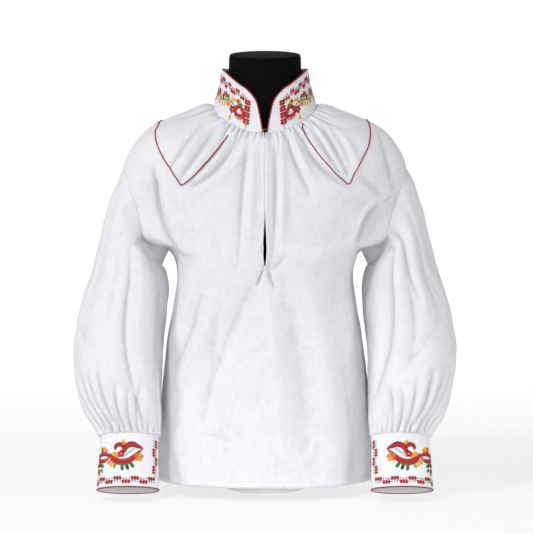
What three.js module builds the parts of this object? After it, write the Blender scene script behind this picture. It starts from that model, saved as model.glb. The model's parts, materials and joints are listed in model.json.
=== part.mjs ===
// Bunad shirt on a dress form.
//
// A white linen folk shirt with a gathered neck, a stand collar that opens in a V, a faced front slit,
// dropped shoulders, square gussets under the arms and full sleeves gathered into deep cuffs. A black
// limbless dress form on a round plinth wears it.
//
// Units are millimetres. +Z is up, +X is to the right of someone facing the shirt, and -Y points towards
// them, so the front of the shirt looks along -Y. The origin is the centre of the plinth's foot.
//
// Every cloth piece is a sheet of points, worked out from a table of sections, that gets its wall by
// moving its outer face inwards. Seams are drawn on the same surface, so the pieces meet edge to edge.

import * as THREE from "three";
import { mergeVertices } from "three/addons/utils/BufferGeometryUtils.js";

// ---- Driving dimensions ----------------------------------------------------------------------------

const LINEN = 1.2; // wall of a single layer of the body and sleeve cloth
const BAND = 2.0; // wall of the collar and the cuffs: two layers and their interlining
const FACING = 1.0; // wall of the facing along the slit
const SEAM = 0.4; // gap between two pieces that are sewn to each other
const BEVEL = 0.35; // how much further a wall's inner edge stands back from a seam than its outer one
const LAID = 0.4; // gap under a piece that lies on another

const SLIT = { end: 279, topHalf: 1.6, closedHalf: 0.35, openHalf: 2.4, facing: 6 };
const COLLAR = { height: 60, corner: 17, rows: 2 };
const CUFF = { height: 84, tilt: 21, rows: 2, proud: 0.8 };
const CORD = { radius: 1.0, sides: 4 }; // the red corded edge of the collar and the cuffs
const HOOK = { radius: 0.5, sides: 6, up: 0.05 }; // the small brass hook over the foot of the opening
const RISE = 5; // how far above the floor the tables' heights start
const PLINTH = { radius: 62, height: 22, chamfer: 2 };
const NECK_CAP = { radius: 55.5, thickness: 4 };

// Where the armhole and its gusset lie on the body: "down" counts along the cloth from the neck seam,
// and "angle" is the armhole's reach from the side seam round to the front and to the back.
const ARMHOLE = { top: 172, corner: 236, bottom: 270, angle: 15.5, steps: 5 };
const GUSSET = { bodyTip: 326, sleeveTip: 96, columns: 4, fold: 0.92 };

// Gathers: how many go all round, how far they stand out, and how far they reach from their seam.
const NECK_GATHERS = { front: 36, back: 24, depth: 4.2, start: 5, reach: 36 };
const CUFF_GATHERS = { count: 12, depth: 5.5, start: 6, reach: 34 };

// ---- The body's sections ---------------------------------------------------------------------------
// One row is one ring round the body: half is its half-width, front and back its depths from the side
// seams, side, fore and aft the heights of the ring at the side seams and at the centres of the front
// and the back. fall shapes the way the ring drops between them, and square rounds it out from an
// ellipse (2) towards a rectangle.

const BODY = [
  { down: 0, half: 81.5, front: 73, back: 64, side: 598, fore: 558, aft: 600, fall: 1.25, square: 2.0 },
  { down: 17, half: 95, front: 85, back: 77, side: 601, fore: 544, aft: 592, fall: 1.3, square: 2.0 },
  { down: 50, half: 123, front: 98, back: 92, side: 592, fore: 520, aft: 571, fall: 1.5, square: 2.0 },
  { down: 80, half: 151, front: 107, back: 104, side: 582, fore: 497, aft: 545, fall: 1.7, square: 2.1 },
  { down: 113, half: 185.5, front: 114, back: 111, side: 564, fore: 472, aft: 515, fall: 1.9, square: 2.1 },
  { down: 142, half: 210, front: 118, back: 114, side: 535, fore: 450, aft: 486, fall: 2.0, square: 2.1 },
  { down: 172, half: 223.5, front: 120, back: 113, side: 502, fore: 430, aft: 458, fall: 2.0, square: 2.1 },
  { down: 202, half: 226.5, front: 121, back: 112, side: 450, fore: 412, aft: 430, fall: 2.0, square: 2.1 },
  { down: 236, half: 221, front: 122, back: 110, side: 403, fore: 388, aft: 396, fall: 2.0, square: 2.1 },
  { down: 252, half: 189, front: 122, back: 109, side: 385, fore: 376, aft: 381, fall: 2.0, square: 2.2 },
  { down: 270, half: 152, front: 121, back: 107, side: 373, fore: 361, aft: 366, fall: 2.0, square: 2.3 },
  { down: 305, half: 138.5, front: 118, back: 104, side: 340, fore: 332, aft: 335, fall: 2.0, square: 2.3 },
  { down: 350, half: 143, front: 116, back: 103, side: 297, fore: 293, aft: 294, fall: 2.0, square: 2.3 },
  { down: 420, half: 155, front: 117, back: 107, side: 224, fore: 223, aft: 223, fall: 2.0, square: 2.2 },
  { down: 520, half: 166, front: 120, back: 112, side: 124, fore: 124, aft: 124, fall: 2.0, square: 2.2 },
  { down: 630, half: 171, front: 122, back: 116, side: 15, fore: 14, aft: 15, fall: 2.0, square: 2.1 },
];
const HEM = BODY[BODY.length - 1].down;

// Large folds of the body, on its front or back as seen from there: from one point (x, z) past a middle
// one to an end, with the fold's half-width and its height, which is negative for a trough.
const FOLDS = [
  { on: "front", x0: -66, z0: 552, x1: -92, z1: 512, x2: -122, z2: 486, wide: 13, high: -4.5 },
  { on: "front", x0: -34, z0: 548, x1: -46, z1: 496, x2: -112, z2: 470, wide: 15, high: -5.5 },
  { on: "front", x0: -18, z0: 545, x1: -22, z1: 480, x2: -46, z2: 400, wide: 14, high: -5.0 },
  { on: "front", x0: 24, z0: 545, x1: 38, z1: 500, x2: 66, z2: 420, wide: 14, high: -4.5 },
  { on: "front", x0: 62, z0: 530, x1: 84, z1: 490, x2: 118, z2: 462, wide: 14, high: -4.0 },
  { on: "front", x0: 84, z0: 560, x1: 108, z1: 520, x2: 127, z2: 474, wide: 11, high: -3.5 },
  { on: "front", x0: -181, z0: 486, x1: -176, z1: 440, x2: -146, z2: 385, wide: 17, high: -9.0 },
  { on: "front", x0: 178, z0: 482, x1: 172, z1: 436, x2: 143, z2: 385, wide: 17, high: -9.0 },
  { on: "front", x0: -4, z0: 346, x1: -40, z1: 262, x2: -92, z2: 120, wide: 22, high: 3.5 },
  { on: "front", x0: 8, z0: 346, x1: 38, z1: 252, x2: 44, z2: 60, wide: 26, high: -6.0 },
  { on: "front", x0: 60, z0: 300, x1: 92, z1: 200, x2: 100, z2: 60, wide: 26, high: 4.0 },
  { on: "back", x0: -40, z0: 585, x1: -58, z1: 500, x2: -64, z2: 380, wide: 16, high: -5.0 },
  { on: "back", x0: 36, z0: 585, x1: 50, z1: 490, x2: 70, z2: 360, wide: 16, high: -5.0 },
  { on: "back", x0: -2, z0: 580, x1: 6, z1: 440, x2: -10, z2: 280, wide: 18, high: -5.0 },
  { on: "back", x0: 60, z0: 300, x1: 70, z1: 180, x2: 84, z2: 30, wide: 24, high: -6.0 },
  { on: "back", x0: -50, z0: 320, x1: -62, z1: 180, x2: -70, z2: 30, wide: 24, high: -6.0 },
];

// ---- The sleeves' sections -------------------------------------------------------------------------
// One row is one ring round the right-hand sleeve, counted along it from the armhole: its centre, its
// half-width and half-depth, and how much higher its outer side and its front stand than its centre.

const SLEEVE = [
  { along: 0, x: 210, y: 0, z: 402, half: 30, deep: 62, outerUp: 88, frontUp: 0 },
  { along: 30, x: 210, y: -2, z: 390, half: 41, deep: 64, outerUp: 54, frontUp: 0 },
  { along: 62, x: 209, y: -5, z: 375, half: 49, deep: 65, outerUp: 27, frontUp: 2 },
  { along: 104, x: 212, y: -11, z: 332, half: 60, deep: 66, outerUp: 12, frontUp: 4 },
  { along: 147, x: 220.5, y: -20, z: 290, half: 67.5, deep: 68, outerUp: 4, frontUp: 7 },
  { along: 190, x: 227.5, y: -31, z: 248, half: 69.5, deep: 70, outerUp: 0, frontUp: 10 },
  { along: 229, x: 230, y: -42, z: 210, half: 69.5, deep: 70, outerUp: 0, frontUp: 13 },
  { along: 266, x: 228, y: -53, z: 174, half: 67, deep: 67, outerUp: 0, frontUp: 16 },
  { along: 299, x: 224, y: -63, z: 142, half: 62, deep: 60, outerUp: 0, frontUp: 18 },
  { along: 326, x: 218, y: -71, z: 116, half: 55, deep: 48, outerUp: 0, frontUp: 17 },
  { along: 346, x: 211.5, y: -77, z: 98, half: 46.5, deep: 32, outerUp: 0, frontUp: 12 },
  { along: 357, x: 209.5, y: -80, z: 88.5, half: 44.4, deep: 26, outerUp: 0, frontUp: 10 },
];
const SLEEVE_END = SLEEVE[SLEEVE.length - 1].along;

// Large folds of a sleeve: from one place (angle round the sleeve, distance along it) past a middle one
// to an end. Angle 0 is the outer side, 90 the front, 180 the side by the body and 270 the back.
const SLEEVE_FOLDS = [
  { a0: 62, s0: 6, a1: 84, s1: 130, a2: 92, s2: 300, wide: 15, high: -6.0 },
  { a0: 96, s0: 30, a1: 108, s1: 160, a2: 112, s2: 320, wide: 14, high: 4.0 },
  { a0: 30, s0: 10, a1: 36, s1: 90, a2: 44, s2: 210, wide: 16, high: -4.0 },
  { a0: 12, s0: 170, a1: 42, s1: 205, a2: 66, s2: 262, wide: 11, high: -4.0 },
  { a0: 300, s0: 8, a1: 296, s1: 120, a2: 284, s2: 300, wide: 16, high: -6.0 },
  { a0: 250, s0: 40, a1: 246, s1: 160, a2: 256, s2: 310, wide: 15, high: -5.0 },
  { a0: 330, s0: 14, a1: 326, s1: 140, a2: 332, s2: 280, wide: 14, high: 4.0 },
];

// ---- The collar's top edge and the dress form ------------------------------------------------------
// The collar's rings use the same columns as the body's. Its lowest one is the body's neck ring.

const COLLAR_RINGS = [
  { up: 0, half: 82, front: 73.5, back: 64.5, side: 598.6, fore: 558.6, aft: 600.6, fall: 1.25, square: 2 },
  { up: 0.5, half: 72.5, front: 67.5, back: 59.5, side: 628, fore: 588, aft: 630, fall: 1.6, square: 2 },
  { up: 1, half: 67.5, front: 62.5, back: 56, side: 657, fore: 617, aft: 660, fall: 2.0, square: 2 },
];

// Half the opening between the collar's front ends, from its base (0) to its top edge (1).
const COLLAR_OPENING = [
  { up: 0, half: 4.2 },
  { up: 0.35, half: 8 },
  { up: 0.7, half: 12.5 },
  { up: 1, half: 18 },
];

// The form's neck above the shirt, and its trunk below the shoulders.
const FORM_NECK = [
  { at: 0, half: 56.5, front: 55, back: 50, side: 677, fore: 668, aft: 685, fall: 1, square: 2 },
  { at: 1, half: 57.5, front: 56, back: 51, side: 640, fore: 632, aft: 644, fall: 1, square: 2 },
  { at: 2, half: 61, front: 58, back: 54, side: 612, fore: 592, aft: 616, fall: 1.2, square: 2 },
  { at: 3, half: 68, front: 61, back: 56, side: 589, fore: 560, aft: 589, fall: 1.3, square: 2 },
];
const FORM_TRUNK = [
  { at: 0, half: 175, front: 101, back: 97, side: 550, fore: 450, aft: 488, fall: 2, square: 2.1 },
  { at: 1, half: 171, front: 105, back: 98, side: 520, fore: 430, aft: 464, fall: 2, square: 2.1 },
  { at: 2, half: 160, front: 106, back: 97, side: 478, fore: 406, aft: 434, fall: 2, square: 2.2 },
  { at: 3, half: 145, front: 104, back: 94, side: 430, fore: 378, aft: 398, fall: 2, square: 2.3 },
  { at: 4, half: 130, front: 99, back: 90, side: 378, fore: 342, aft: 354, fall: 2, square: 2.3 },
  { at: 5, half: 118, front: 93, back: 84, side: 322, fore: 300, aft: 308, fall: 2, square: 2.3 },
  { at: 6, half: 113, front: 88, back: 80, side: 266, fore: 256, aft: 258, fall: 2, square: 2.2 },
  { at: 7, half: 122, front: 90, back: 87, side: 196, fore: 192, aft: 192, fall: 2, square: 2.2 },
  { at: 8, half: 135, front: 94, back: 95, side: 118, fore: 118, aft: 118, fall: 2, square: 2.2 },
  { at: 9, half: 139, front: 95, back: 97, side: 55, fore: 55, aft: 55, fall: 2, square: 2.2 },
  { at: 10, half: 130, front: 89, back: 91, side: 17.4, fore: 17.4, aft: 17.4, fall: 2, square: 2.2 },
];

// Between them its shoulders carry the shirt, so they follow the cloth's own rings: this far down the
// cloth, the form stands in from it by its wall, a small rest at the sides, and more at the centres.
const SHOULDER = { downs: [13, 22, 35, 50, 66, 80, 93], rest: 0.9, centre: 9 };

// ---- Arithmetic ------------------------------------------------------------------------------------

const rad = THREE.MathUtils.degToRad;
const mix = THREE.MathUtils.lerp;
const clamp01 = (x) => THREE.MathUtils.clamp(x, 0, 1);
const vec = (x, y, z) => new THREE.Vector3(x, y, z);

// The value of one column of a table at a place between its rows, as a smooth cubic through the rows.
function column(table, name, key, at) {
  let i = 0;
  while (i < table.length - 2 && at > table[i + 1][key]) i++;
  const slope = (k) => {
    const a = table[Math.max(k - 1, 0)];
    const b = table[Math.min(k + 1, table.length - 1)];
    return (b[name] - a[name]) / (b[key] - a[key]);
  };
  const [p, q] = [table[i], table[i + 1]];
  const span = q[key] - p[key];
  const t = (at - p[key]) / span;
  const t2 = t * t;
  const t3 = t2 * t;
  return (
    (2 * t3 - 3 * t2 + 1) * p[name] +
    (t3 - 2 * t2 + t) * span * slope(i) +
    (3 * t2 - 2 * t3) * q[name] +
    (t3 - t2) * span * slope(i + 1)
  );
}

// The point of a table's ring at an angle: 0 is the right side seam, 90 degrees the centre of the front.
function ringPoint(table, key, at, angle) {
  const of = (name) => column(table, name, key, at);
  const [c, s] = [Math.cos(angle), Math.sin(angle)];
  const n = of("square");
  const depth = s >= 0 ? of("front") : of("back");
  const radius = ((Math.abs(c) / of("half")) ** n + (Math.abs(s) / depth) ** n) ** (-1 / n);
  const side = of("side");
  const drop = ((s >= 0 ? of("fore") : of("aft")) - side) * Math.abs(s) ** of("fall");
  return vec(radius * c, -radius * s, side + drop);
}

// How far along a bent line (a quadratic through three places) the nearest place is, and how far away.
function nearestOnBend(u, v, start, middle, end) {
  const steps = 24;
  let best = { away: Infinity, share: 0 };
  for (let k = 0; k <= steps; k++) {
    const t = k / steps;
    const [a, b, c] = [(1 - t) ** 2, 2 * t * (1 - t), t * t];
    const away = Math.hypot(
      a * start[0] + b * middle[0] + c * end[0] - u,
      a * start[1] + b * middle[1] + c * end[1] - v,
    );
    if (away < best.away) best = { away, share: t };
  }
  return best;
}

// The height of a fold at a distance from its line: a soft bell that dies away at the fold's two ends.
function foldHeight({ away, share }, wide, high) {
  return high * Math.exp(-((away / wide) ** 2)) * Math.sin(Math.PI * clamp01(0.08 + 0.84 * share)) ** 0.7;
}

// ---- The body's surface ----------------------------------------------------------------------------

const bodyRing = (angle, down) => ringPoint(BODY, "down", down, angle);

// The outward normal of a surface of two parameters, from its differences.
function normalOf(surface, u, v, du, dv) {
  const across = surface(u + du, v).sub(surface(u - du, v));
  const along = surface(u, v + dv).sub(surface(u, v - dv));
  return across.cross(along).normalize();
}

// A gather starts flat at its seam, stands out, and dies away along the cloth.
function gatherShape({ depth, start, reach }, phase, from) {
  return depth * (0.5 + 0.5 * Math.cos(phase)) * (1 - Math.exp(-from / start)) * Math.exp(-from / reach);
}

function neckGather(angle, down) {
  const count = Math.sin(angle) > -1e-9 ? NECK_GATHERS.front : NECK_GATHERS.back;
  const uneven = 0.75 + 0.25 * Math.sin(angle * 5 + 1);
  return uneven * gatherShape(NECK_GATHERS, count * angle, down);
}

// The body's outer face, with its gathers and large folds.
function bodySurface(angle, down) {
  const base = bodyRing(angle, down);
  const side = Math.sin(angle) >= 0 ? "front" : "back";
  let height = neckGather(angle, down);
  for (const f of FOLDS) {
    if (f.on !== side) continue;
    const near = nearestOnBend(base.x, base.z, [f.x0, f.z0], [f.x1, f.z1], [f.x2, f.z2]);
    height += foldHeight(near, f.wide, f.high) * Math.min(1, Math.abs(base.y) / 40);
  }
  const limit = Math.min(down, HEM - 2);
  const normal = normalOf(bodyRing, angle, Math.max(limit, 2), 0.01, 1.5);
  return base.addScaledVector(normal, height);
}

// Half the slit's opening at a height: open under the collar, closed below, and open again at its foot.
function slitHalf(down) {
  const { end, topHalf, closedHalf, openHalf } = SLIT;
  const top = (topHalf - closedHalf) * Math.exp(-((down / 9) ** 2));
  const share = clamp01((down - 0.52 * end) / (0.48 * end));
  const foot = (openHalf - closedHalf) * Math.sin(Math.PI * share ** 2.2) ** 0.8;
  return closedHalf + top + foot;
}

// How far the armhole or the gusset reaches from the side seam at a place down the cloth, in radians.
function armholeAngle(down) {
  const widest = rad(ARMHOLE.angle);
  if (down <= ARMHOLE.top || down >= GUSSET.bodyTip) return 0;
  if (down > ARMHOLE.corner) {
    return (widest * (GUSSET.bodyTip - down)) / (GUSSET.bodyTip - ARMHOLE.corner);
  }
  return widest * Math.sqrt(1 - ((ARMHOLE.corner - down) / (ARMHOLE.corner - ARMHOLE.top)) ** 2);
}

// ---- The sleeves' surface --------------------------------------------------------------------------
// side is 1 for the sleeve on the right and -1 for the one on the left.

// A point of the body near a sleeve: round is its angle from the side seam, towards the front if positive.
function bodyAtSide(side, round, down) {
  return bodySurface(side > 0 ? round : Math.PI - round, down);
}

// The gusset's fold under the arm, from the armhole's back corner (-1) to its front one (1).
function foldPoint(side, across) {
  return bodyAtSide(side, rad(ARMHOLE.angle) * across, mix(ARMHOLE.bottom, ARMHOLE.corner, across ** 2));
}

// The armhole's edge on the body, in straight steps between the rows of the panels. Its upper half
// carries the sleeve and its lower half the gusset.
function armholePoint(side, angle) {
  const step = Math.PI / 2 / ARMHOLE.steps;
  const node = (k) => {
    const [c, s] = [Math.cos(k * step), Math.sin(k * step)];
    const round = rad(ARMHOLE.angle) * s;
    if (c >= 0) return bodyAtSide(side, round, mix(ARMHOLE.corner, ARMHOLE.top, c));
    return foldPoint(side, Math.asin(s) / (Math.PI / 2));
  };
  const k = Math.floor(angle / step + 1e-6);
  return node(k).lerp(node(k + 1), clamp01(angle / step - k));
}

function sleeveRing(side, angle, along) {
  const of = (name) => column(SLEEVE, name, "along", along);
  const [c, s] = [Math.cos(angle), Math.sin(angle)];
  const point = vec(
    side * (of("x") + of("half") * c),
    of("y") - of("deep") * s,
    of("z") + of("outerUp") * c + of("frontUp") * s,
  );
  const share = clamp01(along / SLEEVE[2].along);
  const keep = (1 - share) ** 2 * (1 + 2 * share);
  return keep > 0 ? point.lerp(armholePoint(side, angle), keep) : point;
}

function cuffGather(angle, along) {
  const uneven = 0.75 + 0.25 * Math.sin(angle * 3 + 0.6);
  return uneven * gatherShape(CUFF_GATHERS, CUFF_GATHERS.count * angle, SLEEVE_END - along);
}

function sleeveSurface(side, angle, along) {
  const base = sleeveRing(side, angle, along);
  const turn = (THREE.MathUtils.radToDeg(angle) + 360) % 360;
  const round = 1.1; // millimetres of sleeve for each degree
  let height = cuffGather(angle, along);
  for (const f of SLEEVE_FOLDS) {
    const near = nearestOnBend(
      turn * round,
      along,
      [f.a0 * round, f.s0],
      [f.a1 * round, f.s1],
      [f.a2 * round, f.s2],
    );
    height += foldHeight(near, f.wide, f.high) * clamp01(along / 30);
  }
  const ring = (a, s) => sleeveRing(side, a, s);
  const at = THREE.MathUtils.clamp(along, 2, SLEEVE_END - 2);
  return base.addScaledVector(normalOf(ring, angle, at, 0.01, 1.5).multiplyScalar(side), height);
}

// ---- Sheets and their walls ------------------------------------------------------------------------

// A sheet is a list of points and of faces that look outwards. grid makes one from rows of points that
// lie one below the other, each row running round the object clockwise as seen from above.
function grid(rows) {
  const width = rows[0].length;
  const faces = [];
  for (let i = 0; i + 1 < rows.length; i++) {
    for (let j = 0; j + 1 < width; j++) {
      const [a, b] = [i * width + j, i * width + j + 1];
      faces.push([a, b, a + width], [b, b + width, a + width]);
    }
  }
  return { points: rows.flat(), faces };
}

// Joins points that coincide and drops the faces that this closes up.
function welded({ points, faces }) {
  const places = new THREE.Float32BufferAttribute(points.flatMap((p) => p.toArray()), 3);
  const raw = new THREE.BufferGeometry().setAttribute("position", places).setIndex(faces.flat());
  const merged = mergeVertices(raw, 2e-3);
  const kept = merged.getAttribute("position");
  const out = [];
  for (let i = 0; i < merged.index.count; i += 3) {
    const f = [0, 1, 2].map((k) => merged.index.getX(i + k));
    if (new Set(f).size === 3) out.push(f);
  }
  return {
    points: Array.from({ length: kept.count }, (_, i) => vec().fromBufferAttribute(kept, i)),
    faces: out,
  };
}

function sheetNormals({ points, faces }) {
  const normals = points.map(() => vec(0, 0, 0));
  for (const [a, b, c] of faces) {
    const edge = points[b].clone().sub(points[a]);
    const n = edge.cross(points[c].clone().sub(points[a]));
    for (const k of [a, b, c]) normals[k].add(n);
  }
  return normals.map((n) => n.normalize());
}

// The edges of a sheet that only one face has.
function openEdges(faces) {
  const edges = new Map();
  for (const [a, b, c] of faces) {
    for (const [p, q] of [[a, b], [b, c], [c, a]]) {
      if (edges.has(q + "," + p)) edges.delete(q + "," + p);
      else edges.set(p + "," + q, [p, q]);
    }
  }
  return [...edges.values()];
}

// For each point on a sheet's edge, the way back into the sheet that takes it one millimetre from the
// edges it lies on.
function wayBack(points, normals, edges) {
  const sides = new Map();
  for (const [p, q] of edges) {
    for (const k of [p, q]) {
      const along = points[q].clone().sub(points[p]);
      const inwards = normals[k].clone().cross(along).normalize();
      sides.set(k, [...(sides.get(k) ?? []), inwards]);
    }
  }
  const back = points.map(() => vec(0, 0, 0));
  for (const [k, [one, other = one]] of sides) {
    back[k].addVectors(one, other).divideScalar(Math.max(1 + one.dot(other), 0.5));
  }
  return back;
}

// A closed wall from a sheet: its outer face is raised by lift, its inner one lies a wall below, and
// all its edges stand back from the seams.
function wall(sheet, thickness, { lift = 0, standBack = SEAM / 2 } = {}) {
  const { points, faces } = welded(sheet);
  const normals = sheetNormals({ points, faces });
  const edges = openEdges(faces);
  const back = wayBack(points, normals, edges);
  const count = points.length;
  const face = (rise, inset) =>
    points.map((p, i) => p.clone().addScaledVector(normals[i], rise).addScaledVector(back[i], inset));
  const all = [...face(lift, standBack), ...face(lift - thickness, standBack + BEVEL)];
  const closed = faces.flatMap(([a, b, c]) => [[a, b, c], [a + count, c + count, b + count]]);
  for (const [p, q] of edges) closed.push([p, p + count, q], [q, p + count, q + count]);
  return solidGeometry(all, closed);
}

function solidGeometry(points, faces) {
  const places = new THREE.Float32BufferAttribute(points.flatMap((p) => p.toArray()), 3);
  const geometry = new THREE.BufferGeometry().setAttribute("position", places).setIndex(faces.flat());
  geometry.computeVertexNormals();
  return geometry;
}

// Places from one to another, closer together at the start (ease over 1) or evenly (ease 1).
function spread(from, to, steps, ease = 1) {
  return Array.from({ length: steps + 1 }, (_, k) => mix(from, to, (k / steps) ** ease));
}

// ---- Front and back --------------------------------------------------------------------------------

const NECK_ROWS = spread(0, ARMHOLE.top, 7, 1.5);
const ARMHOLE_ROWS = spread(0, Math.PI / 2, ARMHOLE.steps)
  .slice(1)
  .map((turn) => ARMHOLE.corner - (ARMHOLE.corner - ARMHOLE.top) * Math.cos(turn));
const GUSSET_ROWS = [ARMHOLE.corner, 257, SLIT.end, 302, GUSSET.bodyTip];
const SKIRT_ROWS = [375, 440, 530, HEM];
const BODY_ROWS = [...NECK_ROWS, ...ARMHOLE_ROWS, ...GUSSET_ROWS.slice(1), ...SKIRT_ROWS];
const FRONT_STEPS = 16; // columns of half the front, each half a gather wide at the neck
const BACK_STEPS = 24;
const FIRST_GATHER = rad(10); // from the centre of the front

// The columns of half the front, as turns from its centre: the slit's edge, the facing's edge, and then
// evenly round to the side.
function frontColumns(down) {
  const half = down < SLIT.end ? slitHalf(down) : 0;
  const depth = column(BODY, "front", "down", Math.min(down, SLIT.end));
  const facing = Math.asin((half + SLIT.facing) / depth);
  return [Math.asin(half / depth), facing, ...spread(FIRST_GATHER, Math.PI / 2 - armholeAngle(down), FRONT_STEPS)];
}

function frontSheet() {
  const rows = (side) =>
    BODY_ROWS.map((down) =>
      frontColumns(down).map((turn) => bodySurface(Math.PI / 2 - side * turn, down)),
    );
  const right = grid(rows(1).map((row) => row.reverse()));
  const left = grid(rows(-1));
  const shift = right.points.length;
  return {
    points: [...right.points, ...left.points],
    faces: [...right.faces, ...left.faces.map((f) => f.map((k) => k + shift))],
  };
}

function backSheet() {
  const rows = BODY_ROWS.map((down) => {
    const edge = armholeAngle(down);
    return spread(Math.PI + edge, 2 * Math.PI - edge, BACK_STEPS).map((a) => bodySurface(a, down));
  });
  return grid(rows);
}

// One facing of the slit: a strip made from the front's own points, laid on it.
function facingSheet(side) {
  const rows = BODY_ROWS.filter((down) => down <= SLIT.end).map((down) => {
    const at = Math.min(Math.max(down, 1), SLIT.end - 3);
    const [slit, edge] = frontColumns(at);
    const points = [slit, edge].map((turn) => bodySurface(Math.PI / 2 - side * turn, at));
    return side > 0 ? points.reverse() : points;
  });
  return grid(rows);
}

// ---- Sleeves, gussets and cuffs --------------------------------------------------------------------

const SLEEVE_ROWS = [0, 12, 30, 62, GUSSET.sleeveTip, 140, 190, 230, 266, 298, 324, 341, 350, SLEEVE_END];
const SLEEVE_STEPS = 24;

// The sleeve's edge by the gusset at a distance along it: from the armhole's corner to the sleeve's seam.
const sleeveEdge = (along) => Math.PI * (0.5 + 0.5 * clamp01(along / GUSSET.sleeveTip));

function sleeveSheet(side) {
  const rows = SLEEVE_ROWS.map((along) => {
    const edge = sleeveEdge(along);
    const points = spread(-edge, edge, SLEEVE_STEPS).map((a) => sleeveSurface(side, a, along));
    return side > 0 ? points : points.reverse();
  });
  return grid(rows);
}

// The gusset, folded under the arm: from its tip in the sleeve's seam to its fold on the armhole's lower
// edge, and on to its tip in the body's side seam.
function gussetSheet(side) {
  const across = (at, reach = 1) => {
    const places = spread(-reach, reach, GUSSET.columns).map(at);
    return side > 0 ? places : places.reverse();
  };
  const inSleeve = SLEEVE_ROWS.filter((along) => along <= GUSSET.sleeveTip).reverse();
  const upper = inSleeve.map((along) => {
    const turn = (Math.PI / 2) * (1 - along / GUSSET.sleeveTip);
    const reach = mix(GUSSET.fold, 1, clamp01(along / 30));
    return across((c) => sleeveSurface(side, Math.PI - turn * c, along), reach);
  });
  const lower = GUSSET_ROWS.slice(1).map((edge) => {
    const share = (edge - ARMHOLE.corner) / (GUSSET.bodyTip - ARMHOLE.corner);
    return across((c) => {
      const round = rad(ARMHOLE.angle) * c * (1 - share);
      const fold = mix(ARMHOLE.bottom, ARMHOLE.corner, c ** 2);
      return bodyAtSide(side, round, mix(fold, GUSSET.bodyTip, share));
    });
  });
  return grid([...upper, ...lower]);
}

// A cuff is a tube that goes on from the sleeve's last ring, along the tilted line of the wrist.
function cuffPoint(side, angle, down, outside = 0) {
  const end = SLEEVE[SLEEVE.length - 1];
  const tilt = rad(CUFF.tilt);
  const share = down / CUFF.height;
  const forward = (end.deep / Math.cos(tilt) - share + outside) * Math.sin(angle);
  return vec(
    side * (end.x + share + (end.half + 2 * share + outside) * Math.cos(angle)),
    end.y - down * Math.sin(tilt) - forward * Math.cos(tilt),
    end.z - down * Math.cos(tilt) + forward * Math.sin(tilt),
  );
}

function cuffSheet(side) {
  const rows = spread(0, CUFF.height, CUFF.rows).map((down) => {
    const ring = spread(-Math.PI, Math.PI, SLEEVE_STEPS).map((a) => cuffPoint(side, a, down, CUFF.proud));
    return side > 0 ? ring : ring.reverse();
  });
  return grid(rows);
}

// ---- Collar ----------------------------------------------------------------------------------------

// Half the collar's opening as an angle at a height.
function collarOpening(up) {
  return Math.asin(column(COLLAR_OPENING, "half", "up", up) / column(COLLAR_RINGS, "front", "up", up));
}

// The collar's outer face: share runs round from its left front end (0) by the back to its right one
// (1), and up runs from the neck seam (0) to the top edge (1).
function collarPoint(share, up) {
  const opening = collarOpening(up);
  return ringPoint(COLLAR_RINGS, "up", up, mix(Math.PI / 2 + opening, 2.5 * Math.PI - opening, share));
}

// The top edge rounds down into the front edge over the corner's radius.
function collarTop(share) {
  const { corner, height } = COLLAR;
  const inside = clamp01((Math.min(share, 1 - share) * 2 * Math.PI * COLLAR_RINGS[2].front) / corner);
  return 1 - (corner / height) * (1 - Math.sqrt(1 - (1 - inside) ** 2));
}

// The collar's columns stand on those of the front and the back at the neck seam.
const COLLAR_SHARES = (() => {
  const turns = frontColumns(0).slice(2);
  const opening = collarOpening(0);
  const angles = [
    ...[0, 1.2, 3.4].map((extra) => Math.PI / 2 + opening + rad(extra)),
    ...turns.map((turn) => Math.PI / 2 + turn),
    ...spread(Math.PI, 2 * Math.PI, BACK_STEPS).slice(1, -1),
    ...turns.map((turn) => 2.5 * Math.PI - turn).reverse(),
    ...[3.4, 1.2, 0].map((extra) => 2.5 * Math.PI - opening - rad(extra)),
  ];
  return angles.map((angle) => (angle - Math.PI / 2 - opening) / (2 * Math.PI - 2 * opening));
})();

function collarSheet() {
  const rows = spread(1, 0, COLLAR.rows).map((up) =>
    COLLAR_SHARES.map((share) => collarPoint(share, up * collarTop(share))),
  );
  return grid(rows);
}

// ---- Corded edges ----------------------------------------------------------------------------------

// A round cord through a list of points, with flat ends, or joined to itself when closed.
function cordGeometry(path, closed, { radius, sides } = CORD) {
  const curve = new THREE.CatmullRomCurve3(path, closed, "centripetal");
  const steps = path.length - (closed ? 0 : 1);
  const frames = curve.computeFrenetFrames(steps, closed);
  const rings = closed ? steps : steps + 1;
  const points = [];
  for (let i = 0; i < rings; i++) {
    const centre = curve.getPoint(i / steps);
    for (let k = 0; k < sides; k++) {
      const a = (2 * Math.PI * k) / sides;
      const out = frames.normals[i].clone().multiplyScalar(radius * Math.cos(a));
      points.push(out.addScaledVector(frames.binormals[i], radius * Math.sin(a)).add(centre));
    }
  }
  const faces = [];
  for (let i = 0; i < (closed ? rings : rings - 1); i++) {
    for (let k = 0; k < sides; k++) {
      const [a, b] = [i * sides + k, i * sides + ((k + 1) % sides)];
      const [c, d] = [a, b].map((v) => (v + sides) % (rings * sides));
      faces.push([a, b, c], [b, d, c]);
    }
  }
  if (!closed) {
    for (let k = 1; k + 1 < sides; k++) {
      const last = (rings - 1) * sides;
      faces.push([0, k + 1, k], [last, last + k, last + k + 1]);
    }
  }
  return solidGeometry(points, faces);
}

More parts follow.
